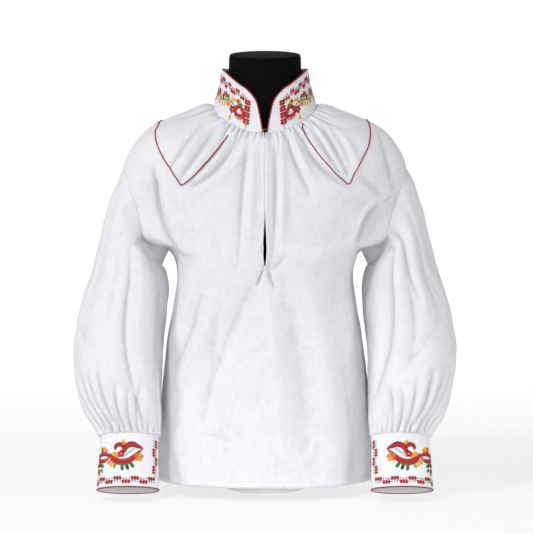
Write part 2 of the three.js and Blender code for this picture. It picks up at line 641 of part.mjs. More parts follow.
// The collar's cord lies outside its top and front edges, the cuff's outside its lower rim.
function collarCord() {
  const stand = CORD.radius + LAID;
  const path = [];
  const edge = (share, up) => collarPoint(share, up);
  const out = (share, up, sideways, rise) => {
    const p = edge(share, up);
    const inward = vec(-p.x, -p.y, 0).setLength(BAND / 2);
    return p.add(inward).add(vec(sideways, 0, rise));
  };
  for (const up of [0.06, 0.2, 0.36, 0.52, 0.66]) path.push(out(0, up, stand + 0.3, 0));
  for (const share of COLLAR_SHARES.slice(1, -1)) {
    const lean = Math.exp(-Math.min(share, 1 - share) / 0.012);
    const sideways = (share < 0.5 ? 1 : -1) * lean * stand * 1.2;
    path.push(out(share, collarTop(share), sideways, stand * (1.25 - 0.4 * lean)));
  }
  for (const up of [0.66, 0.52, 0.36, 0.2, 0.06]) path.push(out(1, up, -stand - 0.3, 0));
  return cordGeometry(path, false);
}

function cuffCord(side) {
  const down = CUFF.height + CORD.radius + LAID;
  const path = spread(-Math.PI, Math.PI, SLEEVE_STEPS)
    .slice(0, -1)
    .map((a) => cuffPoint(side, a, down, CUFF.proud - BAND / 2));
  return cordGeometry(path, true);
}

// A wire hook that lies on the collar's right front end and reaches over the opening to the left one.
function hookGeometry() {
  const stand = HOOK.radius + LAID;
  const foot = collarPoint(1, HOOK.up);
  const at = (across, rise, out = 0) => vec(foot.x + across, foot.y - stand - out, foot.z + rise);
  const path = [at(3.5, 1.4), at(1, 1.6), at(-3, 1.6, 0.6), at(-6.4, 1.4, 0.7), at(-7.6, 0.2, 0.7), at(-6.2, -0.9, 0.6)];
  return cordGeometry(path, false, HOOK);
}

// ---- Dress form ------------------------------------------------------------------------------------

function shoulderPoint(angle, down) {
  const inwards = LINEN + SHOULDER.rest + SHOULDER.centre * Math.sin(angle) ** 2;
  return bodyRing(angle, down).addScaledVector(normalOf(bodyRing, angle, down, 0.01, 1.5), -inwards);
}

function formGeometry() {
  const round = 32;
  const turns = Array.from({ length: round }, (_, k) => (2 * Math.PI * k) / round);
  const rings = [
    ...FORM_NECK.map(({ at }) => turns.map((turn) => ringPoint(FORM_NECK, "at", at, turn))),
    ...SHOULDER.downs.map((down) => turns.map((turn) => shoulderPoint(turn, down))),
    ...FORM_TRUNK.map(({ at }) => turns.map((turn) => ringPoint(FORM_TRUNK, "at", at, turn))),
  ];
  const points = rings.flat();
  const faces = [];
  for (let i = 0; i + 1 < rings.length; i++) {
    for (let k = 0; k < round; k++) {
      const [a, b] = [i * round + k, i * round + ((k + 1) % round)];
      faces.push([a, b, a + round], [b, b + round, a + round]);
    }
  }
  const [top, bottom] = [points.length, points.length + 1];
  points.push(vec(0, 0, FORM_NECK[0].side), vec(0, 0, FORM_TRUNK[FORM_TRUNK.length - 1].side));
  const last = (rings.length - 1) * round;
  for (let k = 0; k < round; k++) {
    const next = (k + 1) % round;
    faces.push([top, next, k], [bottom, last + k, last + next]);
  }
  return solidGeometry(points, faces);
}

// A disc with a chamfered rim, turned about the upright axis.
function discGeometry(radius, height, chamfer, round) {
  const outline = [
    [0, 0],
    [radius, 0],
    [radius, height - chamfer],
    [radius - chamfer, height],
    [0, height],
  ].map(([x, y]) => new THREE.Vector2(x, y));
  const disc = new THREE.LatheGeometry(outline, round);
  disc.rotateX(Math.PI / 2);
  return disc;
}

// ---- The object ------------------------------------------------------------------------------------

const linen = new THREE.MeshStandardMaterial({ color: 0xf1f1f3, roughness: 0.85, metalness: 0 });
const redCord = new THREE.MeshStandardMaterial({ color: 0xb0151c, roughness: 0.6, metalness: 0 });
const blackCloth = new THREE.MeshStandardMaterial({ color: 0x0d0d0e, roughness: 0.9, metalness: 0 });
const brass = new THREE.MeshStandardMaterial({ color: 0xb08a4a, roughness: 0.35, metalness: 1 });
const plinthPaint = new THREE.MeshStandardMaterial({ color: 0xe9e8e5, roughness: 0.5, metalness: 0 });

const shirt = new THREE.Group();
const form = new THREE.Group();

function add(group, name, geometry, material) {
  const mesh = new THREE.Mesh(geometry, material);
  mesh.name = name;
  group.add(mesh);
  return mesh;
}

add(shirt, "shirt_front", wall(frontSheet(), LINEN, { standBack: 0.75 * SEAM }), linen);
add(shirt, "shirt_back", wall(backSheet(), LINEN, { standBack: 0.75 * SEAM }), linen);
add(shirt, "collar", wall(collarSheet(), BAND), linen);
add(shirt, "collar_cord", collarCord(), redCord);
add(shirt, "collar_hook", hookGeometry(), brass);
for (const [hand, side] of [["left", -1], ["right", 1]]) {
  add(shirt, "slit_facing_" + hand, wall(facingSheet(side), FACING, { lift: FACING + LAID }), linen);
  add(shirt, "sleeve_" + hand, wall(sleeveSheet(side), LINEN, { standBack: 1.5 * SEAM }), linen);
  add(shirt, "gusset_" + hand, wall(gussetSheet(side), LINEN, { standBack: SEAM }), linen);
  add(shirt, "cuff_" + hand, wall(cuffSheet(side), BAND), linen);
  add(shirt, "cuff_cord_" + hand, cuffCord(side), redCord);
}

add(form, "form_torso", formGeometry(), blackCloth);
const cap = add(form, "form_neck_cap", discGeometry(NECK_CAP.radius, NECK_CAP.thickness, 1.5, 28), blackCloth);
const neckTop = FORM_NECK[0];
cap.rotation.x = Math.atan((neckTop.aft - neckTop.fore) / (neckTop.front + neckTop.back));
cap.position.set(0, (neckTop.back - neckTop.front) / 2, (neckTop.fore + neckTop.aft) / 2 + LAID);
cap.scale.y = 0.94;

// The tables' heights start a little above the floor, so that the plinth keeps the cuffs off it.
shirt.position.z = form.position.z = RISE;
const plinth = add(form, "form_plinth", discGeometry(PLINTH.radius, PLINTH.height, PLINTH.chamfer, 32), plinthPaint);
plinth.position.z = -RISE;

const bunadShirt = new THREE.Group();
bunadShirt.add(shirt, form);
export default bunadShirt;
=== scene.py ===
"""A bunad shirt on its dress form: the linen, the needlework, the form and the studio round them.

The tables and the folds are in millimetres and count heights from the cloth's own foot line; the meshes
are in metres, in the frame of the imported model. Angles round the shirt count from its right side seam (0)
by the centre of the front (90 degrees) and the left side seam (180) to the centre of the back (270).
"""

import json
import logging
import math
from dataclasses import dataclass, field
from enum import Enum
from functools import partial
from typing import Callable, Iterable

import bpy
import numpy as np
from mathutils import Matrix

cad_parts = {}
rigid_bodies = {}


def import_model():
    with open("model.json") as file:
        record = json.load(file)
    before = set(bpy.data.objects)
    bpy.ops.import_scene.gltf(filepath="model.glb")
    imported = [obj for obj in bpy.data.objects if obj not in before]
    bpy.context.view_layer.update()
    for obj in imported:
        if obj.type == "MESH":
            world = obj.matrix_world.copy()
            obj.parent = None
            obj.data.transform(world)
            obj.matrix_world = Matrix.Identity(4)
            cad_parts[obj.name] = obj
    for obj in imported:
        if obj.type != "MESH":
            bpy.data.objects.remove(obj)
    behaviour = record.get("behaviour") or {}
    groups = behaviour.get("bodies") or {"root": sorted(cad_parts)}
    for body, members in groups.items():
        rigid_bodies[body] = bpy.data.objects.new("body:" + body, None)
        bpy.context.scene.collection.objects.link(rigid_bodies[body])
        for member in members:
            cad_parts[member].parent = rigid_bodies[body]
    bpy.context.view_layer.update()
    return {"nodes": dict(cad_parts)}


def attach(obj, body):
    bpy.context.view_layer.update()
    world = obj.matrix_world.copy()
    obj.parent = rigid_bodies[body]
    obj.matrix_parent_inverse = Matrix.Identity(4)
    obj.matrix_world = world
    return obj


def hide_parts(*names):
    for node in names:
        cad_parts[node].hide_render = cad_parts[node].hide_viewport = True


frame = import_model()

MM = 0.001
RISE = 5.0  # how far above the floor the tables' heights start
LOG = logging.getLogger("bunad_shirt")

Array = np.ndarray
Surface = Callable[[Array, Array], Array]
Pair = tuple[float, float]
Piece = bpy.types.Object
Finish = bpy.types.Material


# ---- Arithmetic ------------------------------------------------------------------------------------


def mix(one: float | Array, other: float | Array, share: float | Array) -> float | Array:
    """The value a share of the way from one to the other."""
    return one + (other - one) * share


def clamp01(value: float | Array) -> Array:
    """The value, kept between 0 and 1."""
    return np.clip(value, 0.0, 1.0)


def unit(vectors: Array) -> Array:
    """The vectors at length one."""
    return vectors / np.maximum(np.linalg.norm(vectors, axis=-1, keepdims=True), 1e-12)


def along_line(values: Array, far: Array, at: Array) -> Array:
    """Values at distances along a line, for a table of them at the distances far."""
    return np.stack([np.interp(at, far, column) for column in values.T], axis=-1)


def travelled(line: Array) -> Array:
    """The distance along a line of points at each of them."""
    return np.concatenate([[0], np.cumsum(np.linalg.norm(np.diff(line, axis=0), axis=1))])


def arc(middle: Pair, radii: Pair, start: float, stop: float, count: int = 6) -> list[Pair]:
    """Places on an ellipse from one angle to another, in degrees.

    Args:
        middle: its centre.
        radii: its half-width and half-height.
        start: the first angle.
        stop: the last angle.
        count: how many places.

    Returns:
        The places.
    """
    turns = np.radians(np.linspace(start, stop, count))
    return [(middle[0] + radii[0] * math.cos(a), middle[1] + radii[1] * math.sin(a)) for a in turns]


def stacked(*columns: float | Array) -> Array:
    """The columns side by side on a new last axis, once they have one shape."""
    return np.stack(np.broadcast_arrays(*columns), axis=-1).astype(float)


def outward(angle: Array, rise: float = 0.0) -> Array:
    """Ways out from the shirt's middle at some angles, with a rise in each."""
    return stacked(np.cos(angle), -np.sin(angle), rise)


@dataclass(frozen=True)
class SectionTable:
    """Named sizes of a row of sections, read as a smooth curve through the rows."""

    columns: str
    rows: tuple[tuple[float, ...], ...]

    def value(self, name: str, at: float | Array) -> Array:
        """One size at a place along the table.

        Args:
            name: the size's column.
            at: where to read it, in the terms of the first column.

        Returns:
            The size there, from a cubic through the rows round it.
        """
        table = np.array(self.rows, float)
        keys, values = table[:, 0], table[:, self.columns.split().index(name)]
        at = np.clip(np.asarray(at, float), keys[0], keys[-1])
        i = np.searchsorted(keys[1:-1], at, side="left")
        rows = np.arange(len(keys))
        before, after = np.maximum(rows - 1, 0), np.minimum(rows + 1, len(keys) - 1)
        slope = (values[after] - values[before]) / (keys[after] - keys[before])
        span = keys[i + 1] - keys[i]
        t = (at - keys[i]) / span
        return (
            (2 * t**3 - 3 * t**2 + 1) * values[i]
            + (t**3 - 2 * t**2 + t) * span * slope[i]
            + (3 * t**2 - 2 * t**3) * values[i + 1]
            + (t**3 - t**2) * span * slope[i + 1]
        )


def ring_point(table: SectionTable, at: float | Array, angle: float | Array) -> Array:
    """A point of a table's ring.

    Args:
        table: the sections, each a rounded ring whose height falls from its sides to its centres.
        at: which ring, in the terms of the table's first column.
        angle: the angle round the ring.

    Returns:
        The points, in millimetres.
    """
    cosine, sine = np.cos(angle), np.sin(angle)
    ahead = sine >= 0
    power = table.value("square", at)
    depth = np.where(ahead, table.value("front", at), table.value("back", at))
    flat, steep = np.abs(cosine) / table.value("half", at), np.abs(sine) / depth
    radius = (flat**power + steep**power) ** (-1 / power)
    side = table.value("side", at)
    centre = np.where(ahead, table.value("fore", at), table.value("aft", at))
    drop = (centre - side) * np.abs(sine) ** table.value("fall", at)
    return stacked(radius * cosine, -radius * sine, side + drop)


def normal_of(surface: Surface, across: Array, along: Array, steps: Pair = (0.01, 1.5)) -> Array:
    """The outward normals of a surface of two parameters, from its differences.

    Args:
        surface: gives a point for an angle and a place along.
        across: the first parameter, which grows towards the left as seen from outside.
        along: the second one, which grows downwards.
        steps: how far to step in each.

    Returns:
        Unit vectors.
    """
    du, dv = steps
    sideways = surface(across + du, along) - surface(across - du, along)
    downwards = surface(across, along + dv) - surface(across, along - dv)
    return unit(np.cross(sideways, downwards))


# ---- Folds, gathers and crumple --------------------------------------------------------------------


@dataclass(frozen=True)
class Fold:
    """A crease: a bent line through three places, with a soft ridge or trough along it.

    wide is the half-width to the right of its way and other, if given, the one to the left. high is
    negative for a trough. A fold dies away at both ends, or only at its far one if it starts full.
    """

    start: Pair
    middle: Pair
    end: Pair
    wide: float
    high: float
    other: float = 0.0
    full: bool = False

    def height(self, across: Array, up: Array) -> Array:
        """How far the cloth stands out.

        Args:
            across: the first coordinate of each place, in the fold's own terms.
            up: the second one.

        Returns:
            The heights, in millimetres.
        """
        steps = 26
        t = np.linspace(0, 1, steps + 1)
        weights = stacked((1 - t) ** 2, 2 * t * (1 - t), t**2)
        line = weights @ np.array([self.start, self.middle, self.end], float)
        nearest = np.full(across.shape, np.inf)
        share, turned = np.zeros(across.shape), np.zeros(across.shape)
        for k in range(steps):
            way = line[k + 1] - line[k]
            off = stacked(across - line[k, 0], up - line[k, 1])
            along = clamp01((off @ way) / (way @ way))
            gap = off - along[..., None] * way
            away = np.hypot(gap[..., 0], gap[..., 1])
            closer = away < nearest
            nearest = np.where(closer, away, nearest)
            share = np.where(closer, (k + along) / steps, share)
            turned = np.where(closer, way[0] * off[..., 1] - way[1] * off[..., 0], turned)
        width = np.where(turned > 0, self.other or self.wide, self.wide)
        begin = 0.5 if self.full else 0.08
        ends = np.sin(np.pi * clamp01(begin + (0.92 - begin) * share)) ** 0.7
        return self.high * 1.15 * np.exp(-(((nearest / width) ** 2 + 0.05) ** 0.75)) * ends


@dataclass(frozen=True)
class Gathers:
    """Pleats drawn up at a seam, each with a width, a length and a lean of its own."""

    count: int
    depth: float
    start: float
    reach: float
    seed: int

    def height(self, angle: Array, away: Array) -> Array:
        """How far the pleats stand out.

        Args:
            angle: the angle round the piece.
            away: the distance from the seam, in millimetres.

        Returns:
            The heights, in millimetres.
        """
        draw = np.random.default_rng(self.seed)
        step = 2 * np.pi / self.count
        drawn = np.zeros(np.broadcast(angle, away).shape)
        for k in range(self.count):
            centre = (k + draw.uniform(-0.25, 0.25)) * step
            lean = draw.uniform(-0.3, 0.3) * step / self.reach
            reach = self.reach * draw.choice([0.5, 0.8, 1.1, 1.6, 2.3])
            deep = draw.uniform(0.55, 1.15)
            half = step * draw.uniform(0.20, 0.32) * (1 + 0.6 * away / reach)
            off = (angle - centre - lean * away + np.pi) % (2 * np.pi) - np.pi
            drawn += deep * np.exp(-(np.abs(off / half) ** 1.6)) * np.exp(-((away / reach) ** 1.6))
        puffed = 0.85 * np.exp(-((away / (2.0 * self.reach)) ** 1.5))
        return self.depth * np.maximum(puffed - drawn, -0.2) * (1 - np.exp(-away / self.start))


@dataclass(frozen=True)
class Crumple:
    """The unevenness of worn linen: flat facets between soft creases, from waves in many directions."""

    seed: int
    size: float
    depth: float
    waves: int = 12

    def height(self, points: Array) -> Array:
        """How far the cloth stands out at each of the points, in millimetres.

        Args:
            points: the places.

        Returns:
            The heights.
        """
        draw = np.random.default_rng(self.seed)
        total = np.zeros(points.shape[:-1])
        for _ in range(self.waves):
            way = unit(draw.normal(size=3) * (1.0, 1.0, 0.75))
            often = 2 * np.pi / (self.size * draw.uniform(0.6, 1.9))
            total += np.sin(points @ way * often + draw.uniform(0, 6.28))
        total *= math.sqrt(2 / self.waves)
        return self.depth * (0.8 - np.sqrt(total**2 + 0.06))


# ---- The shirt's surfaces --------------------------------------------------------------------------

BODY = SectionTable(
    "down half front back side fore aft fall square",
    (
        (0, 81.5, 73, 64, 598, 558, 600, 1.25, 2.0),
        (17, 95, 85, 77, 601, 544, 592, 1.3, 2.0),
        (50, 123, 98, 92, 592, 520, 571, 1.5, 2.0),
        (80, 151, 107, 104, 582, 497, 545, 1.7, 2.1),
        (113, 185.5, 114, 111, 564, 472, 515, 1.9, 2.1),
        (142, 210, 118, 114, 535, 450, 486, 2.0, 2.1),
        (172, 223.5, 120, 113, 502, 430, 458, 2.0, 1.95),
        (202, 226.5, 121, 112, 450, 412, 430, 2.0, 1.8),
        (236, 221, 122, 110, 403, 388, 396, 2.0, 1.75),
        (252, 189, 122, 109, 385, 376, 381, 2.0, 2.05),
        (270, 152, 121, 107, 373, 361, 366, 2.0, 2.6),
        (305, 138.5, 118, 104, 340, 332, 335, 2.0, 2.8),
        (350, 143, 116, 103, 297, 293, 294, 2.0, 2.7),
        (420, 155, 117, 107, 224, 223, 223, 2.0, 2.6),
        (520, 166, 120, 112, 124, 124, 124, 2.0, 2.5),
        (630, 171, 122, 116, 15, 14, 15, 2.0, 2.4),
    ),
)
HEM = 630.0

SLEEVE = SectionTable(
    "along x y z half deep outer_up front_up",
    (
        (0, 210, 0, 402, 30, 62, 88, 0),
        (30, 210, -2, 390, 41, 64, 54, 0),
        (62, 209, -5, 375, 49, 65, 27, 2),
        (104, 212, -11, 332, 60, 66, 12, 4),
        (147, 220.5, -20, 290, 67.5, 68, 4, 7),
        (190, 227.5, -31, 248, 69.5, 70, 0, 10),
        (229, 230, -42, 210, 69.5, 70, 0, 13),
        (266, 228, -53, 174, 67, 67, 0, 16),
        (299, 224, -63, 142, 62, 60, 0, 18),
        (326, 218, -71, 116, 55, 48, 0, 17),
        (346, 211.5, -77, 98, 46.5, 32, 0, 12),
        (357, 209.5, -80, 88.5, 44.4, 26, 0, 10),
    ),
)
SLEEVE_END = 357.0

COLLAR = SectionTable(
    "up half front back side fore aft fall square",
    (
        (0, 82, 73.5, 64.5, 598.6, 558.6, 600.6, 1.25, 2),
        (0.5, 72.5, 67.5, 59.5, 628, 588, 630, 1.6, 2),
        (1, 67.5, 62.5, 56, 657, 617, 660, 2.0, 2),
    ),
)
COLLAR_OPENING = SectionTable("up half", ((0, 4.2), (0.35, 8), (0.7, 12.5), (1, 18)))

FORM_NECK = SectionTable(
    "at half front back side fore aft fall square",
    (
        (0, 56.5, 55, 50, 677, 668, 685, 1, 2),
        (1, 57.5, 56, 51, 640, 632, 644, 1, 2),
        (2, 61, 58, 54, 612, 592, 616, 1.2, 2),
        (3, 68, 61, 56, 589, 560, 589, 1.3, 2),
    ),
)
FORM_TRUNK = SectionTable(
    "at half front back side fore aft fall square",
    (
        (0, 175, 101, 97, 550, 450, 488, 2, 2.1),
        (1, 171, 105, 98, 520, 430, 464, 2, 2.1),
        (2, 160, 106, 97, 478, 406, 434, 2, 2.2),
        (3, 145, 104, 94, 430, 378, 398, 2, 2.3),
        (4, 130, 99, 90, 378, 342, 354, 2, 2.3),
        (5, 118, 93, 84, 322, 300, 308, 2, 2.3),
        (6, 113, 88, 80, 266, 256, 258, 2, 2.2),
        (7, 122, 90, 87, 196, 192, 192, 2, 2.2),
        (8, 135, 94, 95, 118, 118, 118, 2, 2.2),
        (9, 139, 95, 97, 55, 55, 55, 2, 2.2),
        (10, 130, 89, 91, 17.4, 17.4, 17.4, 2, 2.2),
    ),
)

FRONT_FOLDS = (
    # Drawn from the gathers into the left shoulder point: a deep valley between two ridges.
    Fold((-76, 566), (-106, 524), (-131, 486), 6, -4.6, 9),
    Fold((-64, 564), (-95, 520), (-125, 484), 6, 4.2),
    Fold((-88, 570), (-117, 532), (-138, 494), 6, 3.8),
    Fold((-102, 566), (-131, 534), (-147, 500), 5, -2.6),
    Fold((-56, 552), (-84, 516), (-112, 486), 4, -2.4),
    # Crescents that hang below the left shoulder point.
    Fold((-44, 552), (-62, 502), (-110, 478), 8, -6.2, 5),
    Fold((-50, 556), (-72, 510), (-108, 486), 4, 2.6),
    Fold((-30, 548), (-36, 496), (-104, 470), 5, 3.6),
    # Long folds on both sides of the slit.
    Fold((-25, 556), (-36, 490), (-42, 356), 9, -5.0, 6),
    Fold((-15, 556), (-20, 490), (-24, 380), 5, 3.4),
    Fold((13, 558), (19, 490), (12, 372), 6, -4.6, 5),
    Fold((24, 554), (29, 490), (26, 400), 5, 4.0),
    Fold((33, 554), (42, 520), (66, 470), 8, -6.2, 4),
    Fold((43, 556), (52, 524), (80, 478), 4, 3.0),
    # Crescents below the right shoulder point, and folds into it.
    Fold((56, 556), (72, 508), (122, 478), 9, -5.6, 5),
    Fold((66, 560), (88, 516), (116, 488), 4, 3.0),
    Fold((72, 566), (98, 524), (120, 488), 4, -3.8),
    Fold((80, 567), (104, 527), (124, 491), 4, 2.8),
    Fold((90, 567), (112, 528), (128, 490), 4.5, -5.4),
    Fold((101, 568), (124, 535), (132, 500), 4.5, -3.4),
    Fold((112, 562), (138, 530), (142, 500), 5, 2.6),
    # Tension between the right shoulder point and the armhole.
    Fold((134, 488), (152, 468), (182, 448), 9, 3.0),
    Fold((142, 492), (160, 474), (188, 456), 8, -2.4, 9),
    # The crease down the shoulder's end.
    Fold((176, 568), (190, 526), (200, 466), 5.5, -3.6, 9),
    # The deep fold at each armhole's front.
    Fold((-173, 484), (-180, 430), (-138, 370), 16, -14.0, 9),
    Fold((-170, 486), (-176, 466), (-170, 436), 9, -5.0),
    Fold((-158, 488), (-154, 430), (-124, 370), 9, 4.6),
    Fold((184, 452), (154, 432), (146, 376), 7, -12.0, 18),
    Fold((186, 462), (146, 442), (134, 380), 6, 4.6),
    # What spreads from the foot of the slit.
    Fold((-3, 349), (-6, 338), (-12, 326), 2.6, -3.4),
    Fold((4, 349), (7, 338), (14, 322), 2.8, -3.8),
    Fold((0, 350), (-2, 338), (-4, 318), 3.0, 1.8),
    Fold((3, 340), (18, 240), (30, 30), 16, 9.5, 54),
    Fold((14, 340), (56, 262), (68, 50), 24, -12.5, 30),
    Fold((62, 330), (104, 236), (108, 40), 24, 6.4),
    Fold((-10, 338), (-56, 262), (-90, 150), 12, -6.0, 20),
    Fold((-76, 322), (-82, 258), (-134, 172), 9, 5.0),
    Fold((-99, 306), (-114, 250), (-144, 192), 8, -4.4),
    Fold((-92, 352), (-120, 296), (-146, 232), 9, 4.2),
    Fold((-75, 290), (-80, 210), (-100, 112), 14, -4.4),
    Fold((12, 353), (22, 356), (29, 369), 3.5, -1.8),
    # Lower down, softer.
    Fold((-62, 190), (-70, 110), (-60, 14), 20, -3.6),
    Fold((-112, 140), (-118, 80), (-116, 12), 16, 3.2),
    Fold((118, 220), (132, 130), (138, 20), 14, -5.0),
    Fold((28, 64), (46, 88), (68, 104), 7, 1.2),
    Fold((-110, 92), (-80, 100), (-50, 88), 7, -1.0),
)

BACK_FOLDS = (
    Fold((-44, 588), (-60, 500), (-66, 380), 8, -6.5, 12),
    Fold((-30, 588), (-38, 510), (-44, 400), 6, 3.4),
    Fold((38, 588), (52, 490), (72, 360), 12, -6.5, 7),
    Fold((24, 588), (28, 520), (34, 430), 5, 3.0),
    Fold((-2, 584), (6, 440), (-12, 280), 9, -5.0),
    Fold((-66, 584), (-86, 530), (-118, 492), 6, -4.2),
    Fold((62, 584), (84, 530), (116, 490), 6, -4.2),
    Fold((80, 575), (104, 520), (128, 470), 10, -4.0, 14),
    Fold((-84, 575), (-104, 520), (-132, 468), 14, -4.0, 10),
    Fold((60, 300), (70, 180), (84, 30), 22, -6.0, 28),
    Fold((-50, 320), (-62, 180), (-70, 30), 26, -6.0, 20),
    Fold((8, 300), (14, 160), (6, 24), 18, 3.6),
    Fold((-110, 240), (-118, 120), (-122, 20), 16, 3.2),
    Fold((112, 250), (122, 130), (126, 24), 16, 3.0),
    Fold((-176, 470), (-166, 425), (-140, 382), 15, -8.0, 8),
    Fold((176, 470), (166, 425), (140, 382), 8, -8.0, 15),
    Fold((-30, 470), (-10, 420), (30, 400), 12, -2.6),
)

# Folds of a sleeve lie on (angle in degrees times 1.1, distance along it).
SLEEVE_FOLDS = (
    Fold((33, 10), (40, 90), (48, 210), 18, -3.0),
    Fold((330, 8), (326, 120), (312, 300), 16, -7.0),
    Fold((275, 40), (271, 160), (282, 310), 15, -6.0),
    Fold((363, 14), (359, 140), (365, 280), 14, 4.4),
    Fold((232, 120), (226, 220), (238, 330), 12, 3.8),
    Fold((300, 150), (306, 240), (298, 340), 11, 3.4),
    # Pleats that run up from the cuff's gathers.
    Fold((96, 284), (90, 320), (92, 354), 5, -4.0),
    Fold((72, 262), (72, 310), (80, 354), 5, -4.4),
    Fold((52, 268), (56, 310), (64, 354), 5, -4.0),
    Fold((34, 262), (42, 310), (48, 354), 5, -3.6),
    Fold((14, 276), (22, 310), (30, 354), 6, -3.2),
    Fold((116, 290), (108, 320), (104, 354), 5, -3.8),
    Fold((136, 280), (126, 320), (118, 354), 5, -3.4),
    Fold((83, 250), (80, 300), (86, 350), 6, 2.6),
    Fold((60, 256), (64, 300), (72, 350), 6, 2.6),
    Fold((42, 256), (48, 300), (56, 350), 6, 2.4),
)
LEFT_SLEEVE_FOLDS = (
    # The long tuck, whose inner side stands over its outer one.
    Fold((98, 50), (106, 190), (132, 335), 4, -5.4, 10),
    Fold((118, 30), (124, 190), (154, 338), 26, 6.4, 13),
    Fold((158, 120), (166, 210), (170, 320), 10, -4.0, 8),
    # Shallow hollows on the outer part.
    Fold((74, 20), (78, 120), (90, 220), 12, -2.6, 9),
    Fold((52, 60), (60, 130), (64, 230), 14, 2.4),
    Fold((16, 180), (46, 200), (74, 226), 12, -2.8, 9),
    Fold((30, 236), (50, 246), (80, 236), 9, 2.0),
    Fold((28, 262), (44, 250), (58, 224), 8, -2.0),
)
RIGHT_SLEEVE_FOLDS = (
    # The long tuck: its inner side lies deeper.
    Fold((112, 44), (118, 190), (162, 290), 14, -6.6, 5),
    Fold((101, 44), (106, 190), (146, 304), 6, 5.4, 14),
    Fold((90, 8), (90, 180), (110, 262), 6, -3.0, 9),
    Fold((98, 6), (92, 60), (82, 140), 4, -3.2, 5),
    Fold((74, 6), (70, 90), (76, 190), 9, 2.4),
    Fold((60, 10), (56, 90), (54, 170), 8, -2.2),
    # The soft crease of the elbow.
    Fold((114, 244), (92, 232), (66, 186), 12, -2.8, 7),
    Fold((100, 262), (78, 254), (48, 226), 10, 2.2),
)


class Side(Enum):
    """Which hand a piece is on, as seen by someone who faces the shirt."""

    LEFT = -1
    RIGHT = 1

    @property
    def word(self) -> str:
        """The hand's name."""
        return self.name.lower()


